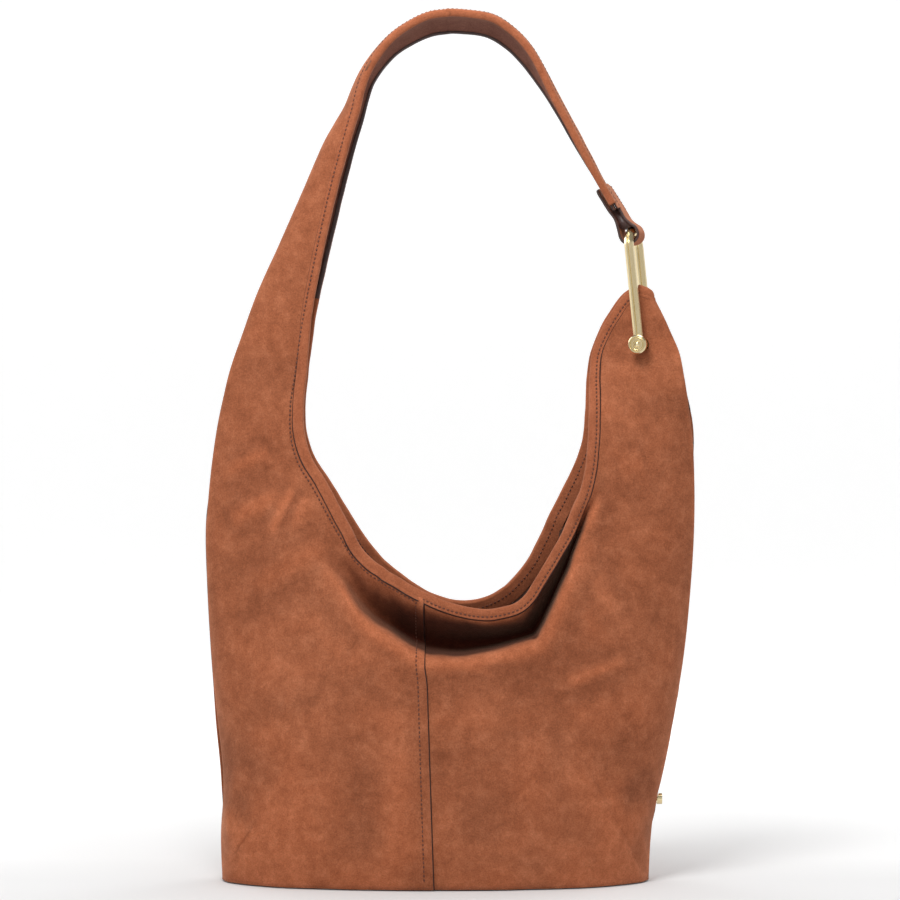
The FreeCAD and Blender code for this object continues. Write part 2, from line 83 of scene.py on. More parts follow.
# ---------------------------------------------------------------- curves

def hermite(t_known, values, t):
    """Smooth curve through values (n, ...) at the rising parameters t_known, read at t."""
    t_known = np.asarray(t_known, float)
    values = np.asarray(values, float)
    slope = np.zeros_like(values)
    step = np.diff(t_known).reshape((-1,) + (1,) * (values.ndim - 1))
    chord = np.diff(values, axis=0) / step
    slope[1:-1] = (chord[:-1] * step[1:] + chord[1:] * step[:-1]) / (step[1:] + step[:-1])
    slope[0], slope[-1] = chord[0], chord[-1]
    t = np.clip(np.asarray(t, float), t_known[0], t_known[-1])
    k = np.clip(np.searchsorted(t_known, t, "right") - 1, 0, len(t_known) - 2)
    wide = (t_known[k + 1] - t_known[k])
    f = (t - t_known[k]) / wide
    shape = (-1,) + (1,) * (values.ndim - 1)
    f, wide = f.reshape(shape), wide.reshape(shape)
    a, b = values[k], values[k + 1]
    m, n = slope[k] * wide, slope[k + 1] * wide
    f2, f3 = f * f, f * f * f
    return (2 * f3 - 3 * f2 + 1) * a + (f3 - 2 * f2 + f) * m + (3 * f2 - 2 * f3) * b + (f3 - f2) * n


def smooth(x):
    x = np.clip(x, 0.0, 1.0)
    return x * x * (3 - 2 * x)


def unit(v):
    v = np.asarray(v, float)
    return v / np.maximum(np.linalg.norm(v, axis=-1, keepdims=True), 1e-9)


# ---------------------------------------------------------------- the bag's own outline

# height, left edge, right edge, half depth
BODY = np.array([
    (0, -157, 155.5, 54.5), (30, -157.5, 156.5, 56), (70, -156.5, 163.5, 55.5), (120, -161, 173.5, 52),
    (170, -165, 181.5, 46), (215, -167.5, 186, 39), (250, -168.5, 188.3, 33), (290, -166, 188.7, 27),
    (330, -160.5, 187, 21.5), (372, -151, 180, 16.5), (450, -130, 160, 13),
])

# strap: crest x z, middle x z, half width vector from the front edge to the back edge
STRAP = np.array([
    (-149.2, 370.3, -95.6, 370.3, 0, 10.9, 0), (-130.4, 424.1, -91.5, 409.5, 1, 10, 0),
    (-115.8, 456.8, -85.2, 443.0, 1.5, 10, -.5), (-94.5, 505, -73.7, 494.9, 1.8, 11.5, -.7),
    (-79.9, 538.5, -64.6, 531.3, 1.5, 13, -.7), (-65.2, 564, -56.5, 560.5, 1.2, 14.5, -1),
    (-54.5, 588.5, -49.4, 584.6, 1.2, 15.5, -1.5), (-34.5, 613, -31.8, 609, 1, 16, -3.2),
    (-4.6, 629.5, -3.6, 624.8, .6, 16.5, -4.3), (24.2, 630.5, 23.3, 626, -.8, 16.5, -4),
    (46.8, 625, 44.6, 620.4, -1.7, 16.5, -3.4), (68.4, 605.2, 65.2, 602, -2.5, 16.5, -1.3),
    (87.5, 572.3, 84.8, 570.6, -.4, 16.3, .6), (106.6, 537.3, 104.2, 535.7, .3, 14, .8),
    (117.6, 516, 116.2, 515.2, .5, 10.5, .8), (124, 504.3, 122.9, 503.7, .6, 8, .4),
    (131.8, 489.9, 131, 489.4, .6, 6.5, .4),
])
ARCH_TOP = 8.5
LAST = 16.0

# rim x z, fold crest x z, fold strength, outer edge x z, rim depth
FRONT_RIBS = [
    ((-95.8, 370), None, 0, (-151.3, 371), -12.5), ((-98, 345), None, 0, (-158.5, 338), -14.5),
    ((-96.5, 324), None, 0, (-164, 305), -17), ((-91, 307), None, 0, (-167.5, 270), -19.5),
    ((-82, 292.5), None, 0, (-168.5, 235), -22), ((-73, 276), None, 0, (-167, 195), -24.5),
    ((-63, 257.5), (-73, 228), .12, (-164.2, 150), -27), ((-53, 240), (-62, 211), .4, (-158, 62), -29),
    ((-43, 231), (-52, 196), .7, (-157, 25), -31), ((-39, 228.5), (-48, 191.5), .8, (-156.5, 3), -31.5),
    ((-36, 226), (-44, 188), .86, (-152, 0), -31.8), ((-28.4, 221.6), (-34, 181.5), .95, (-120, 0), -32.2),
    ((-20, 216.5), (-24, 175), 1, (-75, 0), -32.6), ((-15, 213.8), (-17, 171), 1, (-40, 0), -32.8),
    ((-9, 210.7), (-8.7, 167.3), 1, (-2, 0), -33), ((2, 205.6), (5, 166.5), 1, (35, 0), -33),
    ((18, 200.5), (24, 167.3), 1, (75, 0), -33), ((36, 198), (45, 171.5), 1, (115, 0), -32.6),
    ((50.9, 200.3), (62, 175.5), 1, (150, 0), -32), ((56, 202), (68, 177.5), 1, (155, 3), -31.8),
    ((60, 204.3), (72.8, 179.4), 1, (156, 25), -31.5), ((66, 210), (77.5, 186), 1, (161, 50), -31),
    ((72.2, 220), (83.5, 198), .95, (167.5, 90), -30), ((79, 231), (89.3, 211.6), .9, (175.5, 130), -29),
    ((86.5, 243.5), (95.5, 227), .8, (181, 170), -28), ((93.7, 256.4), (100.7, 245.2), .6, (185, 210), -27),
    ((101, 273), (106, 262), .25, (188, 250), -25), ((107.5, 292), None, 0, (188.8, 287), -23),
    ((111, 316), None, 0, (187.8, 318), -20), ((112.2, 343), None, 0, (185.3, 344), -16.5),
    ((112.9, 368), None, 0, (180.9, 367), -12), ((115, 385), None, 0, (177, 386), -7),
    ((120.5, 399.5), None, 0, (170.5, 401), -5), ((129, 414.5), None, 0, (164.3, 414), -4.8),
    ((139, 427.5), None, 0, (159.5, 424), -4.6), ((147.5, 433.2), None, 0, (157.6, 429.5), -4.4),
]
SEAM_RIB = 14
BACK_RIM = {
    3: (-90, 306), 4: (-80, 291), 5: (-70, 274.5), 6: (-59.5, 257.5), 7: (-48, 241.5), 8: (-40, 232),
    9: (-36, 228.5), 10: (-33, 226), 11: (-26.5, 221), 12: (-19, 215.5), 13: (-14, 212.2), 14: (-8.5, 209),
    15: (2, 204.6), 16: (16, 201.5), 17: (31, 202.5), 18: (43, 207), 19: (47.5, 209.7), 20: (51.3, 212.3),
    21: (56, 217), 22: (62, 223.8), 23: (69, 233.3), 24: (76, 247), 25: (84, 264), 26: (94, 284.5),
    27: (103, 302), 28: (109, 320), 29: (111.5, 343),
}
STRAP_RIBS = [8.5, 8, 7.5, 7, 6.5, 6, 5.5, 5, 4.5, 4, 3.5, 3, 2.5, 2, 1.5, 1, 0.55]


def strap_points(stations, angles):
    """Middle surface of the strap at the stations (rows) and angles in degrees (columns)."""
    read = hermite(np.arange(17.0), STRAP, stations)
    crest = np.stack([read[:, 0], 0 * read[:, 0], read[:, 1]], 1)[:, None]
    middle = np.stack([read[:, 2], 0 * read[:, 0], read[:, 3]], 1)[:, None]
    half = read[:, None, 4:7]
    flat = np.clip((np.asarray(stations, float) - 2) / 4, 0, 1)[:, None]
    a = np.radians(np.asarray(angles, float))[None, :]
    lift = np.maximum(np.cos(a), 0.0) ** (1 + flat)
    return middle + (crest - middle) * lift[:, :, None] + half * np.sin(a)[:, :, None]


def outward(grid):
    """Unit normals of a grid of points, along the first axis crossed with the second."""
    along = np.gradient(grid, axis=0)
    across = np.gradient(grid, axis=1)
    return unit(np.cross(along, across))


def strap_layer(stations, angles, offset):
    """Points of the strap's middle surface moved by offset along its outward normals."""
    grid = strap_points(stations, angles)
    normal = outward(grid)
    centre = grid.shape[1] // 2
    up = grid[:, centre] - 0.5 * (grid[:, 0] + grid[:, -1])
    sign = np.sign(np.sum(up * normal[:, centre], axis=1).sum())
    return grid + normal * sign * offset


def depth(x, z):
    """Half depth of the bag's body at a place in its outline."""
    left = np.interp(z, BODY[:, 0], BODY[:, 1])
    right = np.interp(z, BODY[:, 0], BODY[:, 2])
    half = np.interp(z, BODY[:, 0], BODY[:, 3])
    spot = np.clip((2 * x - left - right) / (right - left), -1, 1)
    return half * np.maximum(1 - np.abs(spot) ** 2.3, 0) ** 0.52


V_GRID = np.linspace(0, 1, ROWS)
V_RIM, V_HOLLOW, V_FOLD = 0.09, 0.2, 0.36


def rib(place, side):
    """One column of a body panel, from the mouth's rim to the outer edge."""
    rim, fold, strength, edge, rim_y = FRONT_RIBS[place]
    if side == BACK:
        rim = BACK_RIM.get(place, rim)
        rim_y = rim_y * 1.03
        fold, strength = None, 0
    rim, edge = np.array(rim, float), np.array(edge, float)
    near = 0.28
    if FRONT_RIBS[place][1] is not None:
        crest_2d = np.array(FRONT_RIBS[place][1], float) - np.array((0, 4.0))
        near = np.linalg.norm(crest_2d - rim) / np.linalg.norm(edge - rim)
    v = V_GRID
    t = np.where(v < V_FOLD, near * v / V_FOLD, near + (1 - near) * (v - V_FOLD) / (1 - V_FOLD))
    on_floor = edge[1] < 1.0
    tight = np.sin(t * math.pi / 2) if not on_floor else t
    t = t + (tight - t) * smooth((v - V_FOLD) / (1 - V_FOLD)) * 0.8
    x = rim[0] + (edge[0] - rim[0]) * t
    z = rim[1] + (edge[1] - rim[1]) * t
    deep = depth(x, z)
    fade = (1 - np.clip(t / 0.9, 0, 1)) ** 3
    rim_depth = depth(rim[0], rim[1])
    y = -(deep + (-rim_y - rim_depth) * fade)
    if place >= 30:
        # the horn is a flat blade with rounded edges
        blade = -rim_y * np.maximum(1 - np.clip((t - .2) / .8, 0, 1) ** 3, 0) ** 0.5
        share = smooth(np.array((rim[1] - 355) / 40))
        y = y * (1 - share) - blade * share
    plain = np.stack([x, y, z], 1)
    if strength > 0:
        crest = np.array([crest_2d[0], 0, crest_2d[1]])
        crest[1] = -(depth(crest[0], crest[2]) + 0.6)
        a = np.array([rim[0], rim_y, rim[1]])
        down = unit(np.array([0.35 * (crest[0] - a[0]) / 30, 0, -1.0]))
        b = a + down * 9
        hollow = a * 0.25 + crest * 0.75
        hollow[1] = rim_y + 25
        c = hollow
        d = crest + np.array([0, 1.5, 1.2])
        low = crest + unit(np.array([edge[0] - crest[0], 0, edge[1] - crest[2]])) * 9
        low[1] = -(depth(low[0], low[2]) + 0.4)
        stops = [0, V_RIM, V_HOLLOW, V_FOLD - 0.015, V_FOLD + 0.05]
        curve = hermite(stops, np.stack([a, b, c, d, low]), v)
        rest = plain.copy()
        after = smooth((v - V_FOLD - 0.02) / 0.06)[:, None]
        folded = curve * (1 - after) + rest * after
        plain = plain * (1 - strength) + folded * strength
    if side == BACK:
        plain[:, 1] *= -1
    turn = math.tan(math.radians(20)) * smooth((plain[:, 2] - 330) / 55)
    wide = smooth((plain[:, 0] - 60) / 30)
    plain[:, 1] -= (plain[:, 0] - PIN[0]) * turn * wide
    return plain


def panel(side):
    """Dense grid of the whole front or back skin: columns run from the arch top to the horn's tip."""
    angles = -90 * (1 - V_GRID) if side == FRONT else 90 * (1 - V_GRID)
    both = np.concatenate([-90 * (1 - V_GRID), (90 * (1 - V_GRID))[::-1][1:]])
    whole = strap_layer(np.array(sorted(STRAP_RIBS)), both, 2.2)[::-1]
    ribs = [r[:ROWS] if side == FRONT else r[ROWS - 1:][::-1] for r in whole]
    first_body = len(ribs)
    ribs += [rib(i, side) for i in range(len(FRONT_RIBS))]
    ribs = np.array(ribs)
    gap = np.linalg.norm(np.diff(ribs, axis=0), axis=2)
    step = 0.5 * gap.mean(axis=1) + 0.5 * gap[:, 0] + 0.5
    u = np.concatenate([[0], np.cumsum(step)])
    count = int(u[-1] / COLUMN_STEP)
    samples = np.linspace(0, u[-1], count)
    seam_u = u[first_body + SEAM_RIB]
    samples[np.argmin(np.abs(samples - seam_u))] = seam_u
    grid = hermite(u, ribs, samples)
    # front and back share one outer edge: both sides of the bag follow the same outline
    z = grid[:, -1, 2]
    outline = hermite(BODY[:, 0], BODY[:, 1:3], z)
    low_place = np.interp(samples, u, np.arange(len(ribs)) - first_body)
    target = np.where(low_place < 14, outline[:, 0], outline[:, 1])
    share = smooth((z - 4) / 12) * smooth((366 - z) / 20) * (low_place > 0)
    grid[..., 0] += ((target - grid[:, -1, 0]) * share)[:, None] * (V_GRID ** 3)[None, :]
    # they also meet at the same depth, in the side seam
    x, z = grid[:, -1, 0], grid[:, -1, 2]
    meet = -(x - PIN[0]) * math.tan(math.radians(20)) * smooth((z - 330) / 55) * smooth((x - 60) / 30)
    share = smooth((z - 1.5) / 5) * (low_place > -0.5)
    grid[..., 1] += ((meet - grid[:, -1, 1]) * share)[:, None] * (V_GRID ** 10)[None, :]
    place = np.interp(samples, u, np.arange(len(ribs)) - first_body)
    return grid, samples, place, seam_u


# ---------------------------------------------------------------- wrinkles and slouch

def ridge(p, a, b, width, height, soft=1.0):
    """Height of a long fold between two points in the bag's outline, as seen from the front."""
    a, b = np.array(a, float), np.array(b, float)
    q = p[..., [0, 2]] - a
    line = b - a
    t = np.clip((q @ line) / (line @ line), 0, 1)
    off = q - t[..., None] * line
    far = np.linalg.norm(off, axis=-1)
    ends = np.sin(np.clip(t, 0.0, 1.0) * math.pi) ** 0.5
    return height * ends * np.exp(-(far / width) ** 2 * soft)


# ends of the fold in x z, width, height (negative is a crease)
FOLDS = [
    ((-98, 286), (-113, 254), 3.0, -2.1), ((-103, 284), (-119, 252), 5.5, 1.9),
    ((-92, 280), (-104, 252), 6, 0.7),
    ((-158, 296), (-122, 314), 6, 1.5), ((-154, 306), (-118, 322), 5, -0.7),
    ((-150, 262), (-112, 282), 7, 1.5), ((-140, 230), (-98, 262), 10, -0.6),
    ((-132, 212), (-74, 250), 9, 0.8), ((-148, 190), (-88, 214), 12, -0.5),
    ((-60, 172), (-20, 146), 11, 0.9), ((-92, 196), (-52, 152), 10, 0.7),
    ((18, 158), (92, 143), 2.2, 0.45), ((40, 151), (96, 139), 3.5, -0.3),
    ((94, 146), (137, 163), 5, 1.1), ((92, 137), (140, 152), 8, -0.6),
    ((115, 308), (112, 256), 6, 1.1), ((124, 310), (120, 250), 8, -0.6),
    ((132, 300), (150, 306), 13, 0.8), ((106, 246), (128, 196), 10, 0.6),
    ((118, 240), (140, 190), 9, -0.5), ((98, 208), (128, 166), 8, 0.6),
    ((-155, 54), (-140, 22), 6, 1.3), ((-148, 66), (-128, 26), 9, -0.8),
    ((150, 60), (120, 20), 10, 0.9), ((156, 86), (134, 40), 9, -0.8),
    ((-120, 120), (-96, 40), 22, 0.9), ((-70, 110), (-60, 20), 24, -0.6),
    ((60, 110), (70, 20), 20, 0.9), ((110, 120), (100, 30), 20, -0.5),
    ((10, 120), (30, 30), 24, -0.4), ((-30, 130), (-26, 10), 14, 1.0),
    ((-135, 380), (-128, 330), 8, 0.8), ((-110, 400), (-118, 350), 7, -0.7),
]


# where the two side seams end at the base
CORNERS = np.array([(-156.4, 0.0, 1.2), (154.9, 0.0, 1.2)])


def wrinkle(grid, place, side):
    """Moves a panel's points along their normals: creases, slouch, side seam, rippled lower edge."""
    normal = outward(grid)
    sense = np.sign((normal[..., 1] * side).mean())
    normal = normal * sense
    p = grid
    move = np.zeros(grid.shape[:2])
    if side == FRONT:
        for a, b, width, height in FOLDS:
            move += ridge(p, a, b, width, height * 1.4)
    else:
        for a, b, width, height in FOLDS[::2]:
            flipped = ((-a[0] * 0.9, a[1] * 0.92 + 8), (-b[0] * 0.9, b[1] * 0.92 + 4))
            move += ridge(p, flipped[0], flipped[1], width * 1.4, height)
    body = smooth((place - 0.5) / 3.0)[:, None] * (1 - smooth((place - 31) / 2.0))[:, None]
    seed = Vector((side * 7.0, 3.0, 1.0))
    broad = np.zeros(grid.shape[:2])
    for i in range(grid.shape[0]):
        for j in range(grid.shape[1]):
            x, y, z = p[i, j]
            q = Vector((x, y * 0.3, z))
            low = noise.noise(q / 62.0 + seed)
            mid = noise.noise(q / 24.0 + seed)
            tight = noise.noise(q / 9.0 + seed)
            broad[i, j] = 2.0 * low + 0.5 * mid + 0.12 * tight
    quiet = 0.22 + 0.78 * body
    span = np.linalg.norm(p - p[:, -1:], axis=2)
    edge_fade = smooth(V_GRID / 0.10)[None, :] * smooth(span / 26)
    quiet = quiet * smooth((place - place[0]) / 1.6)[:, None]
    move = (move * body + broad * quiet) * edge_fade
    # slack at the base: the lower edge rolls in, in shallow ripples
    foot = np.exp(-np.clip(p[..., 2], 0, None) / 6.0)
    low_z = smooth((40 - p[..., 2]) / 40)
    ripple = np.sin(p[..., 0] / 13.0 + side) * 0.9 + np.sin(p[..., 0] / 6.1) * 0.4
    move += low_z * ripple * 0.45 * body - foot * 1.3 * body
    # pinched side seam
    side_edge = (p[:, -1:, 2] > 6) * body
    move += side_edge * (-0.9 * np.exp(-(span / 1.3) ** 2) + 0.5 * np.exp(-((span - 4) / 2.5) ** 2))
    out = p + normal * move[..., None]
    # both panels keep their edge on the seam's own plane, down to the base's corners
    hold = side_edge * np.exp(-(span / 2.2) ** 2)
    out[..., 1] += (p[..., 1] - out[..., 1]) * hold
    # the leather's thickness runs into the bag there, and not across the seam
    sideways = np.zeros_like(p)
    sideways[..., 0] = np.sign(p[:, -1:, 0])
    normal = unit(normal * (1 - hold)[..., None] + sideways * hold[..., None])
    for corner in CORNERS:
        row = int(np.argmin(np.linalg.norm(out[:, -1] - corner, axis=1)))
        out[row] += (corner - out[row, -1]) * np.exp(-(span[row] / 12.0) ** 2)[:, None]
    out[..., 2] = np.maximum(out[..., 2], 0.4)
    return out, normal


# ---------------------------------------------------------------- meshes

def mesh_piece(name, points, faces, materials, face_material=None, smooth_faces=True, extra=None):
    """A mesh object from points in millimetres, with its rest place kept for the textures."""
    data = bpy.data.meshes.new(name)
    data.from_pydata((np.asarray(points) / 1000.0).tolist(), [], faces)
    data.update()
    for m in materials:
        data.materials.append(m)
    if face_material is not None:
        data.polygons.foreach_set("material_index", face_material)
    data.polygons.foreach_set("use_smooth", [smooth_faces] * len(data.polygons))
    rest = data.attributes.new("rest", "FLOAT_VECTOR", "POINT")
    rest.data.foreach_set("vector", (np.asarray(points, np.float32) / 1000.0).ravel())
    wear_and_painted_shade = data.attributes.new("wear_and_painted_shade", "FLOAT", "POINT")
    value = np.zeros(len(points), np.float32) if extra is None else np.asarray(extra, np.float32).ravel()
    wear_and_painted_shade.data.foreach_set("value", value)
    obj = bpy.data.objects.new(name, data)
    bpy.context.scene.collection.objects.link(obj)
    return obj


def grid_faces(rows, columns, flip=False, closed=False):
    faces = []
    wrap = columns if closed else columns - 1
    for i in range(rows - 1):
        for j in range(wrap):
            k = (j + 1) % columns
            f = [i * columns + j, i * columns + k, (i + 1) * columns + k, (i + 1) * columns + j]
            faces.append(f[::-1] if flip else f)
    return faces


def thicken(points, normal, thick, bevel=0.0):
    """A closed sheet: the outer grid, the inner grid and its four edges as separate faces."""
    rows, columns = points.shape[:2]
    outer = points.reshape(-1, 3)
    inner = points - normal * thick
    inner[-1] += unit(points[-1] - points[-2]) * bevel
    inner = inner.reshape(-1, 3)
    count = rows * columns
    faces = grid_faces(rows, columns)
    back = [[v + count for v in f[::-1]] for f in faces]
    ring = ([j for j in range(columns)] + [i * columns + columns - 1 for i in range(1, rows)]
            + [(rows - 1) * columns + j for j in range(columns - 2, -1, -1)]
            + [i * columns for i in range(rows - 2, 0, -1)])
    rim = []
    for a, b in zip(ring, ring[1:] + ring[:1]):
        rim.append([b, a, a + count, b + count])
    index = [0] * len(faces) + [1] * len(back) + [2] * len(rim)
    return np.concatenate([outer, inner]), faces + back + rim, index


def turned_out(points, faces, probe, normal):
    """The faces, all turned over if the probe face looks against normal."""
    a, b, c = (points[v] for v in probe[:3])
    if np.dot(np.cross(b - a, c - b), normal) < 0:
        return [face[::-1] for face in faces]
    return faces


def skin_piece(name, grid, normal, materials, thick=SKIN, extra=None, bevel=0.0):
    points, faces, index = thicken(grid, normal, thick, bevel)
    middle = (grid.shape[0] // 2, grid.shape[1] // 2)
    probe = faces[middle[0] * (grid.shape[1] - 1) + middle[1]]
    faces = turned_out(points, faces, probe, normal[middle])
    if extra is not None:
        extra = np.concatenate([extra.ravel(), extra.ravel()])
    return mesh_piece(name, points, faces, materials, index, True, extra)


def dish(grid, normal):
    """How much each place stands proud of its neighbourhood, -1 to 1: raised spots take rubbed wear, sunken ones
    painted shade.
    """
    soft = grid.copy()
    for _ in range(10):
        soft[1:-1] = (soft[:-2] + 2 * soft[1:-1] + soft[2:]) / 4
        soft[:, 1:-1] = (soft[:, :-2] + 2 * soft[:, 1:-1] + soft[:, 2:]) / 4
    return np.clip(np.sum((grid - soft) * normal, axis=2) / 0.8, -1, 1)


# ---------------------------------------------------------------- materials

def new_material(name):
    m = bpy.data.materials.new(name)
    m.use_nodes = True
    tree = m.node_tree
    shader = tree.nodes["Principled BSDF"]
    return m, tree, shader


def noise_node(tree, vector, scale, detail=3.0, rough=0.55):
    n = tree.nodes.new("ShaderNodeTexNoise")
    n.inputs["Scale"].default_value = scale
    n.inputs["Detail"].default_value = detail
    n.inputs["Roughness"].default_value = rough
    tree.links.new(vector, n.inputs["Vector"])
    return n.outputs["Fac"]


def ramp_node(tree, value, stops):
    r = tree.nodes.new("ShaderNodeValToRGB")
    while len(r.color_ramp.elements) < len(stops):
        r.color_ramp.elements.new(0.5)
    for e, (at, colour) in zip(r.color_ramp.elements, stops):
        e.position = at
        e.color = (*colour, 1.0)
    tree.links.new(value, r.inputs["Fac"])
    return r.outputs["Color"]


def mix_node(tree, factor, a, b, kind="MIX"):
    m = tree.nodes.new("ShaderNodeMix")
    m.data_type = "RGBA"
    m.blend_type = kind
    if isinstance(factor, float):
        m.inputs["Factor"].default_value = factor
    else:
        tree.links.new(factor, m.inputs["Factor"])
    tree.links.new(a, m.inputs["A"])
    tree.links.new(b, m.inputs["B"])
    return m.outputs["Result"]


def bump_node(tree, shader, height, strength, distance, before=None):
    b = tree.nodes.new("ShaderNodeBump")
    b.inputs["Strength"].default_value = strength
    b.inputs["Distance"].default_value = distance
    tree.links.new(height, b.inputs["Height"])
    if before is not None:
        tree.links.new(before, b.inputs["Normal"])
    tree.links.new(b.outputs["Normal"], shader.inputs["Normal"])
    return b.outputs["Normal"]


def rest_vector(tree):
    a = tree.nodes.new("ShaderNodeAttribute")
    a.attribute_name = "rest"
    return a.outputs["Vector"]


def suede(name, dark, mid, light, sheen=0.35):
    m, tree, shader = new_material(name)
    place = rest_vector(tree)
    broad = noise_node(tree, place, 19.0, 5.0, 0.62)
    nap = noise_node(tree, place, 110.0, 5.0, 0.7)
    grain = noise_node(tree, place, 900.0, 2.0, 0.7)
    base = ramp_node(tree, broad, [(0.2, dark), (0.5, mid), (0.85, light)])
    brushed = ramp_node(tree, nap, [(0.3, dark), (0.5, mid), (0.7, light)])
    colour = mix_node(tree, 0.5, base, brushed)
    speck = ramp_node(tree, grain, [(0.25, (0.72, 0.72, 0.72)), (0.75, (1.18, 1.18, 1.18))])
    colour = mix_node(tree, 1.0, colour, speck, "MULTIPLY")
    # Per-point attribute: above 0 lightens rubbed raised spots (wear), below 0 darkens creases and the recess
    # under the front rim (painted shade).
    wear_and_painted_shade = tree.nodes.new("ShaderNodeAttribute")
    wear_and_painted_shade.attribute_name = "wear_and_painted_shade"
    rub = ramp_node(tree, wear_and_painted_shade.outputs["Fac"], [(0.0, (1.0, 1.0, 1.0)), (1.0, (1.3, 1.27, 1.24))])
    colour = mix_node(tree, 1.0, colour, rub, "MULTIPLY")
    away = tree.nodes.new("ShaderNodeMath")
    away.operation = "MULTIPLY"
    away.inputs[1].default_value = -1.0
    tree.links.new(wear_and_painted_shade.outputs["Fac"], away.inputs[0])
    shade = ramp_node(tree, away.outputs["Value"], [(0.0, (1.0, 1.0, 1.0)), (1.0, (0.16, 0.08, 0.055))])
    colour = mix_node(tree, 1.0, colour, shade, "MULTIPLY")
    tree.links.new(colour, shader.inputs["Base Color"])
    rough = ramp_node(tree, nap, [(0.3, (0.98,) * 3), (0.7, (0.86,) * 3)])
    tree.links.new(rough, shader.inputs["Roughness"])
    shader.inputs["Specular IOR Level"].default_value = 0.18
    shader.inputs["Sheen Weight"].default_value = sheen
    shader.inputs["Sheen Roughness"].default_value = 0.45
    shader.inputs["Sheen Tint"].default_value = (1.0, 0.62, 0.42, 1.0)
    soft = bump_node(tree, shader, nap, 0.35, 0.0012)
    bump_node(tree, shader, grain, 0.55, 0.00035, soft)
    return m


def plain_material(name, dark, light, scale, rough, metal=0.0, bump=0.2, depth_mm=0.2, from_object=False,
                   stretch=None):
    m, tree, shader = new_material(name)
    if from_object:
        place = tree.nodes.new("ShaderNodeTexCoord").outputs["Object"]
    else:
        place = rest_vector(tree)
    if stretch is not None:
        mapping = tree.nodes.new("ShaderNodeMapping")
        mapping.inputs["Scale"].default_value = stretch
        tree.links.new(place, mapping.inputs["Vector"])
        place = mapping.outputs["Vector"]
    value = noise_node(tree, place, scale, 4.0, 0.6)
    tree.links.new(ramp_node(tree, value, [(0.3, dark), (0.7, light)]), shader.inputs["Base Color"])
    r = ramp_node(tree, value, [(0.3, (rough * 0.85,) * 3), (0.7, (min(rough * 1.2, 1.0),) * 3)])
    tree.links.new(r, shader.inputs["Roughness"])
    shader.inputs["Metallic"].default_value = metal
    bump_node(tree, shader, value, bump, depth_mm / 1000.0)
    return m


def cloth_material(name, dark, light):
    m, tree, shader = new_material(name)
    place = rest_vector(tree)
    turn = tree.nodes.new("ShaderNodeMapping")
    turn.inputs["Rotation"].default_value = (0.0, math.radians(38), 0.0)
    tree.links.new(place, turn.inputs["Vector"])
    wave = tree.nodes.new("ShaderNodeTexWave")
    wave.inputs["Scale"].default_value = 520.0
    wave.inputs["Distortion"].default_value = 0.6
    tree.links.new(turn.outputs["Vector"], wave.inputs["Vector"])
    broad = noise_node(tree, place, 30.0)
    base = ramp_node(tree, broad, [(0.3, dark), (0.7, light)])
    thread = ramp_node(tree, wave.outputs["Fac"], [(0.0, (0.75, 0.75, 0.75)), (1.0, (1.1, 1.1, 1.1))])
    tree.links.new(mix_node(tree, 1.0, base, thread, "MULTIPLY"), shader.inputs["Base Color"])
    shader.inputs["Roughness"].default_value = 0.85
    bump_node(tree, shader, wave.outputs["Fac"], 0.4, 0.0003)
    return m


SUEDE = suede("suede", (0.2, 0.056, 0.023), (0.315, 0.097, 0.042), (0.46, 0.16, 0.076), 0.22)
SUEDE_BAND = suede("suede_band", (0.235, 0.065, 0.027), (0.335, 0.102, 0.045), (0.42, 0.138, 0.063), 0.22)
# Painted shade: a darker, greyer copy of the suede for the strap's downward-facing underside.
UNDERSIDE_SHADE = suede("underside_painted_shade", (0.13, 0.05, 0.036), (0.19, 0.078, 0.055), (0.26, 0.11, 0.078), 0.2)
FLESH = plain_material("flesh_side", (0.16, 0.06, 0.03), (0.26, 0.1, 0.05), 300, 0.9)
PAINT = plain_material("painted_edge", (0.03, 0.011, 0.008), (0.055, 0.02, 0.014), 400, 0.5)
THREAD = plain_material("thread", (0.09, 0.027, 0.014), (0.15, 0.046, 0.023), 900, 0.7)
LINING = cloth_material("lining_cloth", (0.075, 0.032, 0.02), (0.12, 0.052, 0.032))
BOARD = plain_material("base_card", (0.2, 0.17, 0.14), (0.3, 0.26, 0.21), 200, 0.9)
TAPE = plain_material("zip_tape", (0.06, 0.026, 0.016), (0.1, 0.044, 0.028), 700, 0.85, from_object=True)
# Painted reflection: the brass tone is stretched into streaks along z, the darker streaks standing in for dark
# reflections on the bars.
BRASS = plain_material("brass", (0.78, 0.63, 0.35), (0.9, 0.76, 0.47), 160, 0.18, 1.0, 0.05, 0.05, True,
                       (1.0, 1.0, 0.08))


# ---------------------------------------------------------------- sweeps along the mouth's rim

def band_frames(grid, normal, reach):
    """Edge point, direction into the skin and outward normal, for each column of a panel."""
    edge = grid[:, 0]
    span = np.cumsum(np.linalg.norm(np.diff(grid, axis=1), axis=2), axis=1)
    k = 1 + np.argmax(span > reach, axis=1)
    inward = unit(grid[np.arange(len(grid)), k] - edge)
    tangent = unit(np.gradient(edge, axis=0))
    inward = unit(inward - tangent * np.sum(inward * tangent, axis=1, keepdims=True))
    out = np.cross(tangent, inward)
    sense = np.sign(np.sum(out * normal[:, 2], axis=1, keepdims=True))
    out = unit(out * sense)
    for _ in range(6):
        inward[1:-1] = unit(inward[:-2] + inward[1:-1] * 2 + inward[2:])
        out[1:-1] = unit(out[:-2] + out[1:-1] * 2 + out[2:])
    return edge, inward, out


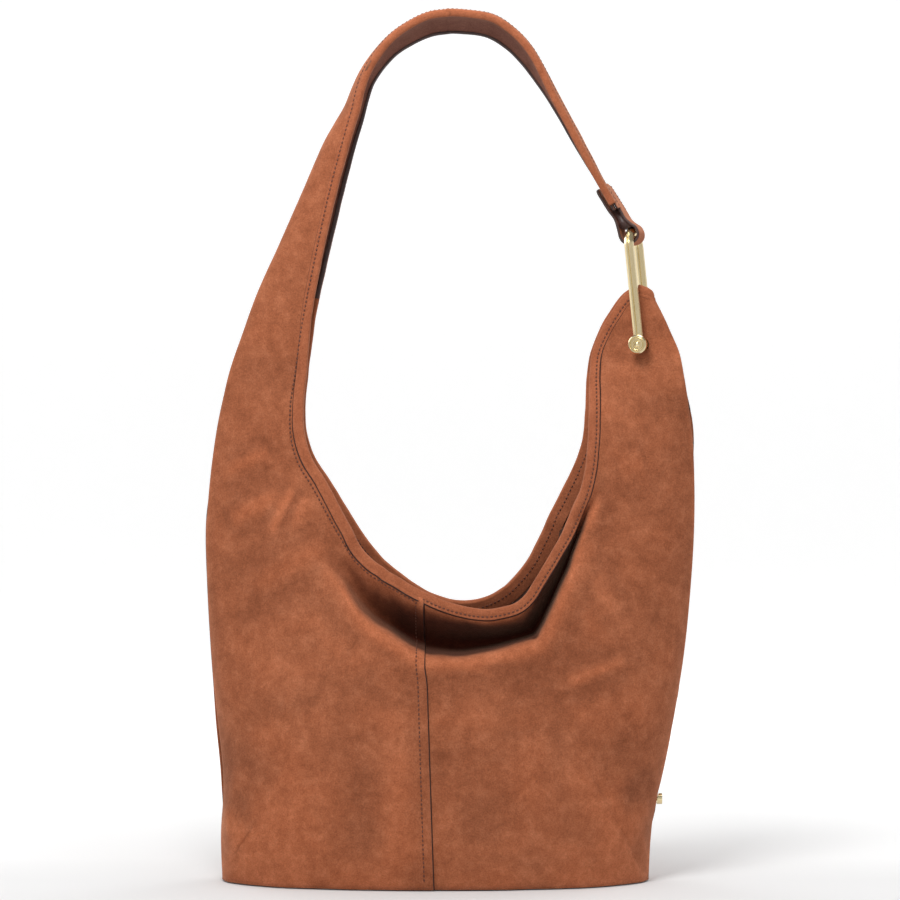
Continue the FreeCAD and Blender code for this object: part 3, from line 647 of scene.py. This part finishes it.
def band_profile(outer_leg, inner_leg, half):
    """Binding folded over the rim: w runs into the skin, n outwards. The last figure is 1 for cut edges."""
    top = []
    for a in range(0, 181, 15):
        r = math.radians(a)
        top.append((-1.7 * math.sin(r), half * math.cos(r), 0))
    outside = [(outer_leg + 0.9, half - 1.35, 1), (outer_leg, half - 0.1, 1), (outer_leg - 0.4, half, 0),
               (outer_leg - 1.4, half, 0), (outer_leg - 2.2, half - 0.25, 0), (outer_leg - 3.0, half + 0.1, 0),
               (outer_leg * 0.3, half + 0.3, 0)]
    inside = [(inner_leg * 0.5, -half, 0), (inner_leg - 0.4, -half, 0), (inner_leg, -half + 0.15, 1),
              (inner_leg, -half + 1.2, 1)]
    return outside + top + inside


def round_tip(frames, grid, normal):
    """Carries a band's frames on across the end of a panel, from its rim to its outer edge."""
    edge, inward, out = frames
    picks = np.linspace(ROWS * 0.16, ROWS - 1, 9).astype(int)
    over = grid[-1, picks]
    into = unit(grid[-4, picks] - over)
    nrm = normal[-2, picks]
    into = unit(into - nrm * np.sum(into * nrm, axis=1, keepdims=True))
    edge = np.concatenate([edge, over])
    inward = np.concatenate([inward, into])
    out = np.concatenate([out, nrm])
    for _ in range(5):
        inward[-13:-1] = unit(inward[-14:-2] + inward[-13:-1] * 2 + inward[-12:])
        out[-13:-1] = unit(out[-14:-2] + out[-13:-1] * 2 + out[-12:])
    return edge, inward, out


def along_skin(grid, reach):
    """Points on a panel a given distance in from the rim, one to a column."""
    reach = np.broadcast_to(reach, (len(grid),))
    far = np.cumsum(np.linalg.norm(np.diff(grid, axis=1), axis=2), axis=1)
    far = np.concatenate([np.zeros((len(grid), 1)), far], axis=1)
    return np.array([[np.interp(w, f, g[:, c]) for c in range(3)] for w, f, g in zip(reach, far, grid)])


def binding(name, frames, centre, half, outer_leg, inner_leg, shade_inside=None):
    """A band folded over an edge. frames are its edge points, inward and outward directions."""
    edge, inward, out = frames
    count = len(edge)
    centre, half, outer_leg, inner_leg = (
        np.broadcast_to(value, (count,)) for value in (centre, half, outer_leg, inner_leg))
    rows = []
    cut = None
    for i in range(count):
        shape = band_profile(outer_leg[i], inner_leg[i], half[i])
        cut = [s[2] for s in shape]
        wobble = 0.25 * noise.noise(Vector(edge[i] / 11.0))
        rows.append([edge[i] + inward[i] * (w + wobble) + out[i] * (n + centre[i] + wobble * 0.3)
                     for w, n, _ in shape])
    rows = np.array(rows)
    columns = rows.shape[1]
    faces = grid_faces(count, columns, closed=True)
    index = []
    for i in range(count - 1):
        for j in range(columns):
            # Painted shade: where the inside flag is set, the band's inner half takes the near-black edge
            # colour.
            shaded = shade_inside is not None and shade_inside[i] and j > 14
            index.append(1 if shaded or (cut[j] and cut[(j + 1) % columns]) else 0)
    faces.append(list(range(columns))[::-1])
    faces.append([(count - 1) * columns + j for j in range(columns)])
    index += [0, 0]
    points = rows.reshape(-1, 3)
    third = count // 3
    faces = turned_out(points, faces, faces[third * columns + 4], out[third])
    return mesh_piece(name, points, faces, [SUEDE_BAND, PAINT], index)


def stitches(name, path, normal, pitch=3.4, length=2.4, radius=0.33, material=None):
    """Short raised threads along a path, each a little arched bead sunk at both ends."""
    path = np.asarray(path, float)
    far = np.concatenate([[0], np.cumsum(np.linalg.norm(np.diff(path, axis=0), axis=1))])
    count = int(far[-1] / pitch)
    points, faces = [], []
    for s in range(count):
        at = (s + 0.5) * pitch
        ends = [at - length / 2 + length * k / 4 for k in range(5)]
        spots = np.stack([np.interp(ends, far, path[:, c]) for c in range(3)], 1)
        n = unit(np.array([np.interp(at, far, normal[:, c]) for c in range(3)]))
        d = unit(spots[-1] - spots[0])
        side = np.cross(d, n)
        base = len(points)
        for k in range(5):
            lift = math.sin(k / 4 * math.pi)
            r = radius * (0.45 + 0.55 * lift)
            centre = spots[k] + n * (0.32 * lift - 0.12)
            for a in range(6):
                w = a / 6 * 2 * math.pi
                points.append(centre + side * math.cos(w) * r * 1.2 + n * math.sin(w) * r)
        for k in range(4):
            for a in range(6):
                b = (a + 1) % 6
                faces.append([base + k * 6 + a, base + k * 6 + b, base + k * 6 + 6 + b, base + k * 6 + 6 + a])
        faces.append([base + a for a in range(6)][::-1])
        faces.append([base + 24 + a for a in range(6)])
    return mesh_piece(name, np.array(points), faces, [material or THREAD])


# ---------------------------------------------------------------- the four suede panels

NECK = ("bag", "upper", (0, 0, 0.33), (0, 0, 0.37))
TO_SHACKLE = ("upper", "shackle", (0.045, 0, 0.60), (0.118, 0, 0.513))


def bend(obj):
    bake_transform(obj)


made = {}
for side, tag in ((FRONT, "front"), (BACK, "back")):
    grid, samples, place, seam_u = panel(side)
    grid, normal = wrinkle(grid, place, side)
    # Raised spots lighten as rubbed wear; creases darken slightly as painted shade.
    wear_and_painted_shade = np.maximum(dish(grid, normal), -0.12)
    if side == FRONT:
        # Painted shadow: the recess under the front rim is darkened in the colour, more towards the right.
        hollow = smooth((V_GRID - 0.05) / 0.06) * (1 - smooth((V_GRID - 0.29) / 0.08))
        strength = np.interp(place, range(len(FRONT_RIBS)), [r[2] for r in FRONT_RIBS])
        hollow_shadow_weight = 0.4 + 1.1 * smooth((grid[:, 0, 0] + 50) / 60)
        wear_and_painted_shade = wear_and_painted_shade - hollow[None, :] * (hollow_shadow_weight * smooth(strength))[:, None]
    wear_and_painted_shade = np.clip(wear_and_painted_shade, -1, 1)
    made[tag] = (grid, normal, samples, place, seam_u, wear_and_painted_shade)
    k = int(np.argmin(np.abs(samples - seam_u)))
    lap = int(round(9.0 / COLUMN_STEP))
    raised = grid.copy()
    lift = SEAM_LIFT * smooth(1 - (samples[k] - samples[:k + 1]) / 16.0)
    raised[:k + 1] += normal[:k + 1] * lift[:, None, None] * smooth(V_GRID / 0.08)[None, :, None]
    left = skin_piece(f"{tag}_left_skin", raised[:k + 1], normal[:k + 1], [SUEDE, FLESH, PAINT],
                      extra=wear_and_painted_shade[:k + 1], bevel=0.9)
    right = skin_piece(f"{tag}_right_skin", grid[k - lap:], normal[k - lap:], [SUEDE, FLESH, PAINT],
                       extra=wear_and_painted_shade[k - lap:])
    for obj, half in ((left, "left"), (right, "right")):
        bend(obj)
        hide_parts(f"{tag}_{half}_panel")
    # topstitch beside the lapped edge
    start = int(ROWS * 0.07)
    near = raised[k - 8:k + 1][::-1]
    steps = np.linalg.norm(np.diff(near, axis=0), axis=2)
    away = np.concatenate([np.zeros((1, ROWS)), np.cumsum(steps, axis=0)])
    line = np.array([[np.interp(6.3, away[:, j], near[:, j, c]) for c in range(3)]
                     for j in range(start, ROWS - 1)])
    line = line + normal[k, start:ROWS - 1] * 0.12
    seam = stitches(f"{tag}_seam_thread", line, normal[k, start:ROWS - 1], 3.2, 2.1, 0.42)
    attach(seam, "bag")

front, back = made["front"], made["back"]
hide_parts("neck_fold")
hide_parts("horn_fold", "horn_front_panel", "horn_stiffener")
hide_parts("horn_back_panel")

# rim bindings, running up the strap's edges and over the horn's tip
for tag in ("front", "back"):
    grid, normal, samples, place, seam_u, wear_and_painted_shade = made[tag]
    frames = band_frames(grid, normal, 6.0)
    longer = round_tip(frames, grid, normal)
    more = len(longer[0]) - len(place)
    long_place = np.concatenate([place, np.full(more, 35.0)])
    on_strap = 1 - smooth((long_place + 1.5) / 4.0)
    on_horn = smooth((long_place - 30) / 3.0)
    centre = BAND_CENTRE - 0.6 * on_strap - 1.0 * on_horn
    half = BAND_HALF - 0.15 * on_strap + 0.2 * on_horn
    leg = 6.4 - 0.8 * on_strap
    inner_leg = 5.5 - 3.7 * on_strap
    if tag == "back":
        inner_leg = inner_leg + 6.0 * smooth((long_place - 4) / 5) * (1 - smooth((long_place - 27) / 3))
    else:
        inner_leg = inner_leg - 1.5 * on_horn
    # Painted shade: on the strap, the back band's inner half is coloured near-black.
    dark = (long_place < -3) if tag == "back" else None
    band = binding(f"{tag}_rim_band", longer, centre, half, leg, inner_leg, dark)
    bend(band)
    if tag == "front":
        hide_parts("front_rim_binding", "horn_binding")
    else:
        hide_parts("back_rim_binding")
    edge, inward, out = frames
    n = len(edge)
    if tag == "back":
        facing_in = edge + inward * 4.4 + out * (centre[:n] - half[:n] + 0.05)[:, None]
        pick = place > 1
        thread = stitches("back_facing_thread", facing_in[pick], -out[pick], 3.2, 2.1, 0.5)
        bend(thread)
    # the left panels are stitched beyond the band, the right panels through it
    apart = smooth((place + 4) / 7)[:, None]
    on_panel = along_skin(grid, leg[:n] + 3.0) + out * 0.15
    on_band = edge + inward * (leg[:n] - 2.2)[:, None] + out * (centre[:n] + half[:n] - 0.05)[:, None]
    for part, pick, line in (("left", place < SEAM_RIB, on_band * (1 - apart) + on_panel * apart),
                             ("right", place >= SEAM_RIB, on_band)):
        thread = stitches(f"{tag}_rim_thread_{part}", line[pick], out[pick], 3.2, 2.1, 0.5)
        bend(thread)


# linings follow the panels inside
for tag in ("front", "back"):
    grid, normal, samples, place, seam_u, wear_and_painted_shade = made[tag]
    first = int(np.argmax(place > -0.5))
    last = int(np.argmax(place > 30.5))
    inner = grid[first:last, :int(ROWS * 0.965)]
    turn = math.tan(math.radians(20)) * smooth((inner[..., 2] - 330) / 55) * smooth((inner[..., 0] - 60) / 30)
    room = np.abs(inner[..., 1] + (inner[..., 0] - PIN[0]) * turn)
    inner = inner - normal[first:last, :inner.shape[1]] * np.minimum(2.9, 0.5 * room)[..., None]
    for _ in range(4):
        inner[1:-1, 1:-1] = (inner[:-2, 1:-1] + inner[2:, 1:-1] + inner[1:-1, :-2] + inner[1:-1, 2:]) / 4
    inner[..., 2] = np.maximum(inner[..., 2], 4.5)
    turned = -normal[first:last, :inner.shape[1]]
    lining = skin_piece(f"{tag}_lining", inner, turned, [LINING, LINING, LINING], -0.8)
    bend(lining)
    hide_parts(f"lining_{tag}")


# ---------------------------------------------------------------- base

def floor_sheet(name, height, inset, material, node):
    left, right = -157.0 + inset, 155.5 - inset
    columns, rows = 90, 26
    points = []
    for i in range(columns):
        s = i / (columns - 1) * 2 - 1
        x = (left + right) / 2 + (right - left) / 2 * math.sin(s * math.pi / 2)
        deep = max(float(depth(x, 0.5)) - 3.2 - inset * 0.6, 0.3)
        for j in range(rows):
            y = (j / (rows - 1) * 2 - 1) * deep
            z = height + 0.35 * noise.noise(Vector((x / 23.0, y / 19.0, height)))
            points.append((x, y, max(z, 0.15)))
    points = np.array(points).reshape(columns, rows, 3)
    up = np.zeros_like(points)
    up[..., 2] = -1.0 if height < 2 else 1.0
    obj = skin_piece(name, points, up, [material] * 3, 1.2)
    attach(obj, "bag")
    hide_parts(node)
    return obj, points


floor_sheet("base_skin", 0.7, 0.6, SUEDE, "base_panel")
floor_sheet("base_card", 3.0, 7.0, BOARD, "base_board")
base_lining, laid_flat = floor_sheet("base_lining", 6.5, 8.0, LINING, "lining_base")

# ---------------------------------------------------------------- strap beyond the arch, and its underside

angles = np.linspace(-90, 90, 41)
right_stations = np.linspace(ARCH_TOP - 0.12, LAST, 110)
left_stations = np.linspace(0.3, ARCH_TOP, 120)
shell = strap_layer(right_stations, angles, 2.2)
mid_right = strap_points(right_stations, angles)
right_normal = unit(shell - mid_right)
for i in range(shell.shape[0]):
    for j in range(1, shell.shape[1] - 1):
        q = Vector(shell[i, j] / 16.0)
        calm = min(max(i - 4, 0) / 12.0, 1.0) * min(j, shell.shape[1] - 1 - j, 5) / 5.0
        shell[i, j] += right_normal[i, j] * 0.4 * calm * noise.noise(q)
# Rubbed wear on the strap's raised spots, painted shade in its creases.
strap_right = skin_piece("strap_right_skin", shell, right_normal, [SUEDE, FLESH, PAINT],
                         extra=np.maximum(dish(shell, right_normal), -0.3))
bend(strap_right)
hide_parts("strap_outer", "strap_core")

for tag, stations, joint in (("right", right_stations, TO_SHACKLE), ("left", left_stations, NECK)):
    middle = strap_points(stations, angles)
    under = strap_layer(stations, angles, -2.2)
    up = unit(middle - under)
    thickness = 1.4
    for i in range(under.shape[0]):
        for j in range(2, under.shape[1] - 2):
            under[i, j] += up[i, j] * (0.3 + 0.35 * noise.noise(Vector(under[i, j] / 13.0)))
    # The underside takes the darker suede copy, painted shade for a face turned downwards.
    lining = skin_piece(f"strap_underside_{tag}", under, -up, [UNDERSIDE_SHADE, UNDERSIDE_SHADE, PAINT], thickness)
    bend(lining)
    if tag == "right":
        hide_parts("strap_lining")

for tag, flip in (("front", False), ("back", True)):
    grid = shell if not flip else shell[:, ::-1]
    nrm = right_normal if not flip else right_normal[:, ::-1]
    until = int(len(right_stations) * 0.97)
    size = hermite(np.arange(17.0), STRAP, right_stations[:until])[:, 5]
    leg = 5.6 - 1.4 * smooth((14 - size) / 5)
    fold_in = 1.8
    frames = band_frames(grid[:until], nrm[:until], 5.0)
    edge, inward, out = frames
    # Painted shade: the back band's inner half is coloured near-black along the strap's end.
    dark = np.ones(until, bool) if tag == "back" else None
    band = binding(f"strap_right_band_{tag}", frames, -2.2, 2.6, leg, fold_in, dark)
    bend(band)
    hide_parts(f"strap_{tag}_binding")
    line = edge + inward * (leg - 1.8)[:, None] + out * 0.36
    thread = stitches(f"strap_right_thread_{tag}", line, out, 3.3, 2.3, 0.32)
    bend(thread)


# ---------------------------------------------------------------- tab round the shackle

TAB_LINE = np.array([
    (-22.6, 117.4), (-18.3, 108.8), (-13.9, 100.0), (-10.4, 94.2), (-8.9, 89.0), (-8.2, 84.0), (-7.4, 79.4),
    (-5.2, 76.0), (-1.4, 74.8), (2.6, 75.6), (5.4, 78.4), (6.0, 82.0), (4.6, 85.8), (1.0, 89.0), (-2.6, 93.0),
    (-5.2, 98.6), (-8.4, 105.2), (-12.2, 112.8), (-16.2, 120.6),
])
SHACKLE_YAW = math.radians(20.0)
SHACKLE_TILT = math.radians(6.0)


def shackle_to_bag(p):
    """Points (n, 3) from the shackle's own upright frame to the bag's."""
    c, s = math.cos(SHACKLE_TILT), math.sin(SHACKLE_TILT)
    x, y, z = p[:, 0] * c - p[:, 2] * s, p[:, 1], p[:, 2] * c + p[:, 0] * s
    c, s = math.cos(SHACKLE_YAW), math.sin(SHACKLE_YAW)
    return np.stack([x * c + y * s, y * c - x * s, z], 1) + PIN


def make_tab():
    far = np.concatenate([[0], np.cumsum(np.linalg.norm(np.diff(TAB_LINE, axis=0), axis=1))])
    s = np.linspace(0, far[-1], 110)
    line = hermite(far, TAB_LINE, s)
    ahead = unit(np.gradient(line, axis=0))
    out = np.stack([ahead[:, 1], -ahead[:, 0]], 1)
    section = []
    for k in range(9):
        w = k / 8 * 2 - 1
        section.append((w * 0.93, 1.0 + 0.12 * (1 - w * w), 0))
    section += [(0.985, 0.75, 1), (1.0, 0.3, 1), (1.0, -0.3, 1), (0.985, -0.75, 1)]
    for k in range(9):
        w = 1 - k / 8 * 2
        section.append((w * 0.93, -1.0, 0))
    section += [(-0.985, -0.75, 1), (-1.0, -0.3, 1), (-1.0, 0.3, 1), (-0.985, 0.75, 1)]
    points, index = [], []
    for i in range(len(s)):
        end = min(s[i], far[-1] - s[i])
        half = 8.0 * math.sqrt(max(1 - (1 - min(end / 5.5, 1.0)) ** 2, 0.0))
        half = max(half, 2.0)
        for w, t, edge in section:
            soft = 0.12 * noise.noise(Vector((s[i] / 5.0, w * 2.0, t)))
            q = line[i] + out[i] * (t + soft)
            points.append((q[0], w * half, q[1]))
    columns = len(section)
    faces = grid_faces(len(s), columns, closed=True)
    for i in range(len(s) - 1):
        for j in range(columns):
            index.append(1 if section[j][2] or section[(j + 1) % columns][2] else 0)
    faces.append(list(range(columns))[::-1])
    faces.append([(len(s) - 1) * columns + j for j in range(columns)])
    index += [1, 1]
    points = shackle_to_bag(np.array(points))
    tab = mesh_piece("strap_tab_leather", points, faces, [SUEDE_BAND, PAINT], index)
    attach(tab, "shackle")
    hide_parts("strap_tab")
    for sign in (-1, 1):
        pick = s > far[-1] - 24
        p3 = np.stack([line[pick, 0] + out[pick, 0] * 1.05, np.full(pick.sum(), sign * 5.8),
                       line[pick, 1] + out[pick, 1] * 1.05], 1)
        n3 = np.stack([out[pick, 0], 0 * out[pick, 0], out[pick, 1]], 1)
        thread = stitches(f"tab_thread_{'near' if sign < 0 else 'far'}", shackle_to_bag(p3),
                          shackle_to_bag(n3) - PIN, 2.8, 2.0, 0.28)
        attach(thread, "shackle")


def shadowed_tab_filler():
    """The strap's end tongue, glued between the tab's layers and tucked behind the bar; coloured all near-black
    as painted shadow inside the loop.
    """
    outline = np.array([(-13.4, 101.5), (-10.4, 95.2), (-8.6, 90.0), (-7.4, 86.4), (-4.6, 85.4), (-1.2, 86.0),
                        (2.2, 86.6), (0.2, 89.0), (-2.8, 92.4), (-5.6, 97.8), (-7.0, 101.5)])
    points, faces = [], []
    widths = np.linspace(-1, 1, 9)
    for w in widths:
        for x, z in outline:
            points.append((x * (1 - 0.02 * w * w), w * 7.0, z))
    n = len(outline)
    faces = grid_faces(len(widths), n, closed=True)
    faces += [list(range(n))[::-1], [(len(widths) - 1) * n + j for j in range(n)]]
    filler = mesh_piece("strap_end_tongue", shackle_to_bag(np.array(points)), faces, [PAINT])
    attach(filler, "shackle")


make_tab()
shadowed_tab_filler()

# ---------------------------------------------------------------- hanging zip pocket

def pocket_sheet(name, node, y_lead, billow):
    low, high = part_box(node)
    x0, x1 = low.x * 1000, high.x * 1000
    z0, z1 = low.z * 1000, high.z * 1000
    columns, rows = 60, 44
    points = np.zeros((columns, rows, 3))
    for i in range(columns):
        s = i / (columns - 1)
        for j in range(rows):
            t = j / (rows - 1)
            edge = min(s, 1 - s, t * 0.8, 1.0) * 8
            sag = math.sin(s * math.pi) * math.sin(min(t * 1.15, 1) * math.pi) * billow
            wave = 0.8 * noise.noise(Vector((s * 4, t * 3, y_lead))) * min(edge, 1)
            x = x0 + (x1 - x0) * s
            corner = 6 * (max(0, abs(s - 0.5) - 0.42) / 0.08) ** 2 * (1 - t) ** 4
            points[i, j] = (x, y_lead + sag + wave, z0 + (z1 - z0) * t + corner)
    n = np.zeros_like(points)
    n[..., 1] = np.sign(billow)
    obj = skin_piece(name, points, n, [LINING] * 3, 0.7)
    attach(obj, "bag")
    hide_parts(node)
    return obj


for name, node, lead_side, billow in (("pocket_back_cloth", "pocket_back", 1, 0.8),
                                      ("pocket_front_cloth", "pocket_front", 0, -2.2),
                                      ("pocket_header_cloth", "pocket_header", 0, -0.6)):
    low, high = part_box(node)
    pocket_sheet(name, node, (high.y if lead_side else low.y) * 1000 + (-0.4 if lead_side else 0.6), billow)

# ---------------------------------------------------------------- carried CAD metal and hidden parts

PAINTED = {
    "brass": BRASS, "board": BOARD, "padding": BOARD, "webbing": TAPE, "zip_tape": TAPE, "lining": LINING,
    "suede": SUEDE, "strap_underside": UNDERSIDE_SHADE,
}
slot_of = {entry["node"]: entry["material_slot"] for entry in frame["record"]["subparts"]}
METAL = {"grommet_front", "grommet_back", "shackle", "shackle_pin", "pin_cap_front", "pin_cap_back", "side_stud",
         "stud_washer", "zip_teeth", "zip_stops", "zip_slider", "zip_puller"}
for n, obj in nodes.items():
    if obj.hide_render:
        continue
    material = BRASS if n in METAL else PAINTED.get(slot_of.get(n, ""), TAPE)
    obj.data.materials.clear()
    obj.data.materials.append(material)

# ---------------------------------------------------------------- stage, light, camera

stage_mesh = bpy.data.meshes.new("backdrop")
profile = [(0.001, 0.0), (0.5, 0.0), (1.5, 0.0), (3.4, 0.0)]
for k in range(1, 13):
    w = k / 12 * math.pi / 2
    profile.append((3.4 + 1.2 * math.sin(w), 1.2 - 1.2 * math.cos(w)))
profile.append((4.6, 3.2))
around = 72
stage_points = [(r * math.cos(a / around * 2 * math.pi), r * math.sin(a / around * 2 * math.pi), z - 0.0005)
                for r, z in profile for a in range(around)]
stage_mesh.from_pydata(stage_points, [], grid_faces(len(profile), around, flip=True, closed=True))
stage_mesh.polygons.foreach_set("use_smooth", [True] * len(stage_mesh.polygons))
backdrop = bpy.data.objects.new("backdrop", stage_mesh)
bpy.context.scene.collection.objects.link(backdrop)
paper, paper_tree, paper_shader = new_material("paper")
paper_shader.inputs["Base Color"].default_value = (0.7, 0.7, 0.7, 1.0)
paper_shader.inputs["Roughness"].default_value = 0.9
paper_shader.inputs["Emission Color"].default_value = (1.0, 1.0, 1.0, 1.0)
# Painted light: the paper glows as a fill light, weakest close to the bag so the floor round its base stays grey
# like a shadow, and weaker towards the front.
spot = paper_tree.nodes.new("ShaderNodeTexCoord").outputs["Object"]
away = paper_tree.nodes.new("ShaderNodeVectorMath")
away.operation = "LENGTH"
paper_tree.links.new(spot, away.inputs[0])
glow = ramp_node(paper_tree, away.outputs["Value"], [(0.2, (0.05,) * 3), (1.0, (0.55,) * 3)])
parts = paper_tree.nodes.new("ShaderNodeSeparateXYZ")
paper_tree.links.new(spot, parts.inputs["Vector"])
ahead = ramp_node(paper_tree, parts.outputs["Y"], [(0.0, (0.35,) * 3), (0.12, (1.0,) * 3)])
paper_light = mix_node(paper_tree, 1.0, glow, ahead, "MULTIPLY")
paper_tree.links.new(paper_light, paper_shader.inputs["Emission Strength"])
stage_mesh.materials.append(paper)
backdrop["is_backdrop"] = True


def area_light(name, place, target, size, power, size_y=None):
    data = bpy.data.lights.new(name, "AREA")
    data.energy = power
    data.size = size
    if size_y is not None:
        data.shape = "RECTANGLE"
        data.size_y = size_y
    obj = bpy.data.objects.new(name, data)
    obj.location = place
    obj.rotation_euler = (Vector(target) - Vector(place)).to_track_quat("-Z", "Y").to_euler()
    bpy.context.scene.collection.objects.link(obj)


area_light("key", (-0.16, -0.62, 1.1), (0.04, 0, 0.42), 0.36, 8.2)
area_light("top", (0.1, -0.1, 2.0), (0, 0, 0.3), 1.0, 11)
area_light("rim", (1.3, 1.0, 1.4), (0, 0, 0.4), 0.9, 8)
area_light("behind", (-1.2, 1.2, 1.2), (0, 0, 0.3), 1.0, 7)

world = bpy.data.worlds.new("studio")
world.use_nodes = True
world.node_tree.nodes["Background"].inputs["Color"].default_value = (1.0, 1.0, 1.0, 1.0)
world.node_tree.nodes["Background"].inputs["Strength"].default_value = 0.26
bpy.context.scene.world = world
bpy.context.scene.view_settings.view_transform = "Standard"

camera_data = bpy.data.cameras.new("camera")
camera_data.lens = 120.5
camera_data.sensor_width = 36.0
camera_data.clip_end = 30.0
camera = bpy.data.objects.new("camera", camera_data)
camera.location = (0.00986, -2.2, 0.314)
camera.rotation_euler = (math.pi / 2, 0.0, 0.0)
bpy.context.scene.collection.objects.link(camera)
bpy.context.scene.camera = camera

low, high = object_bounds()
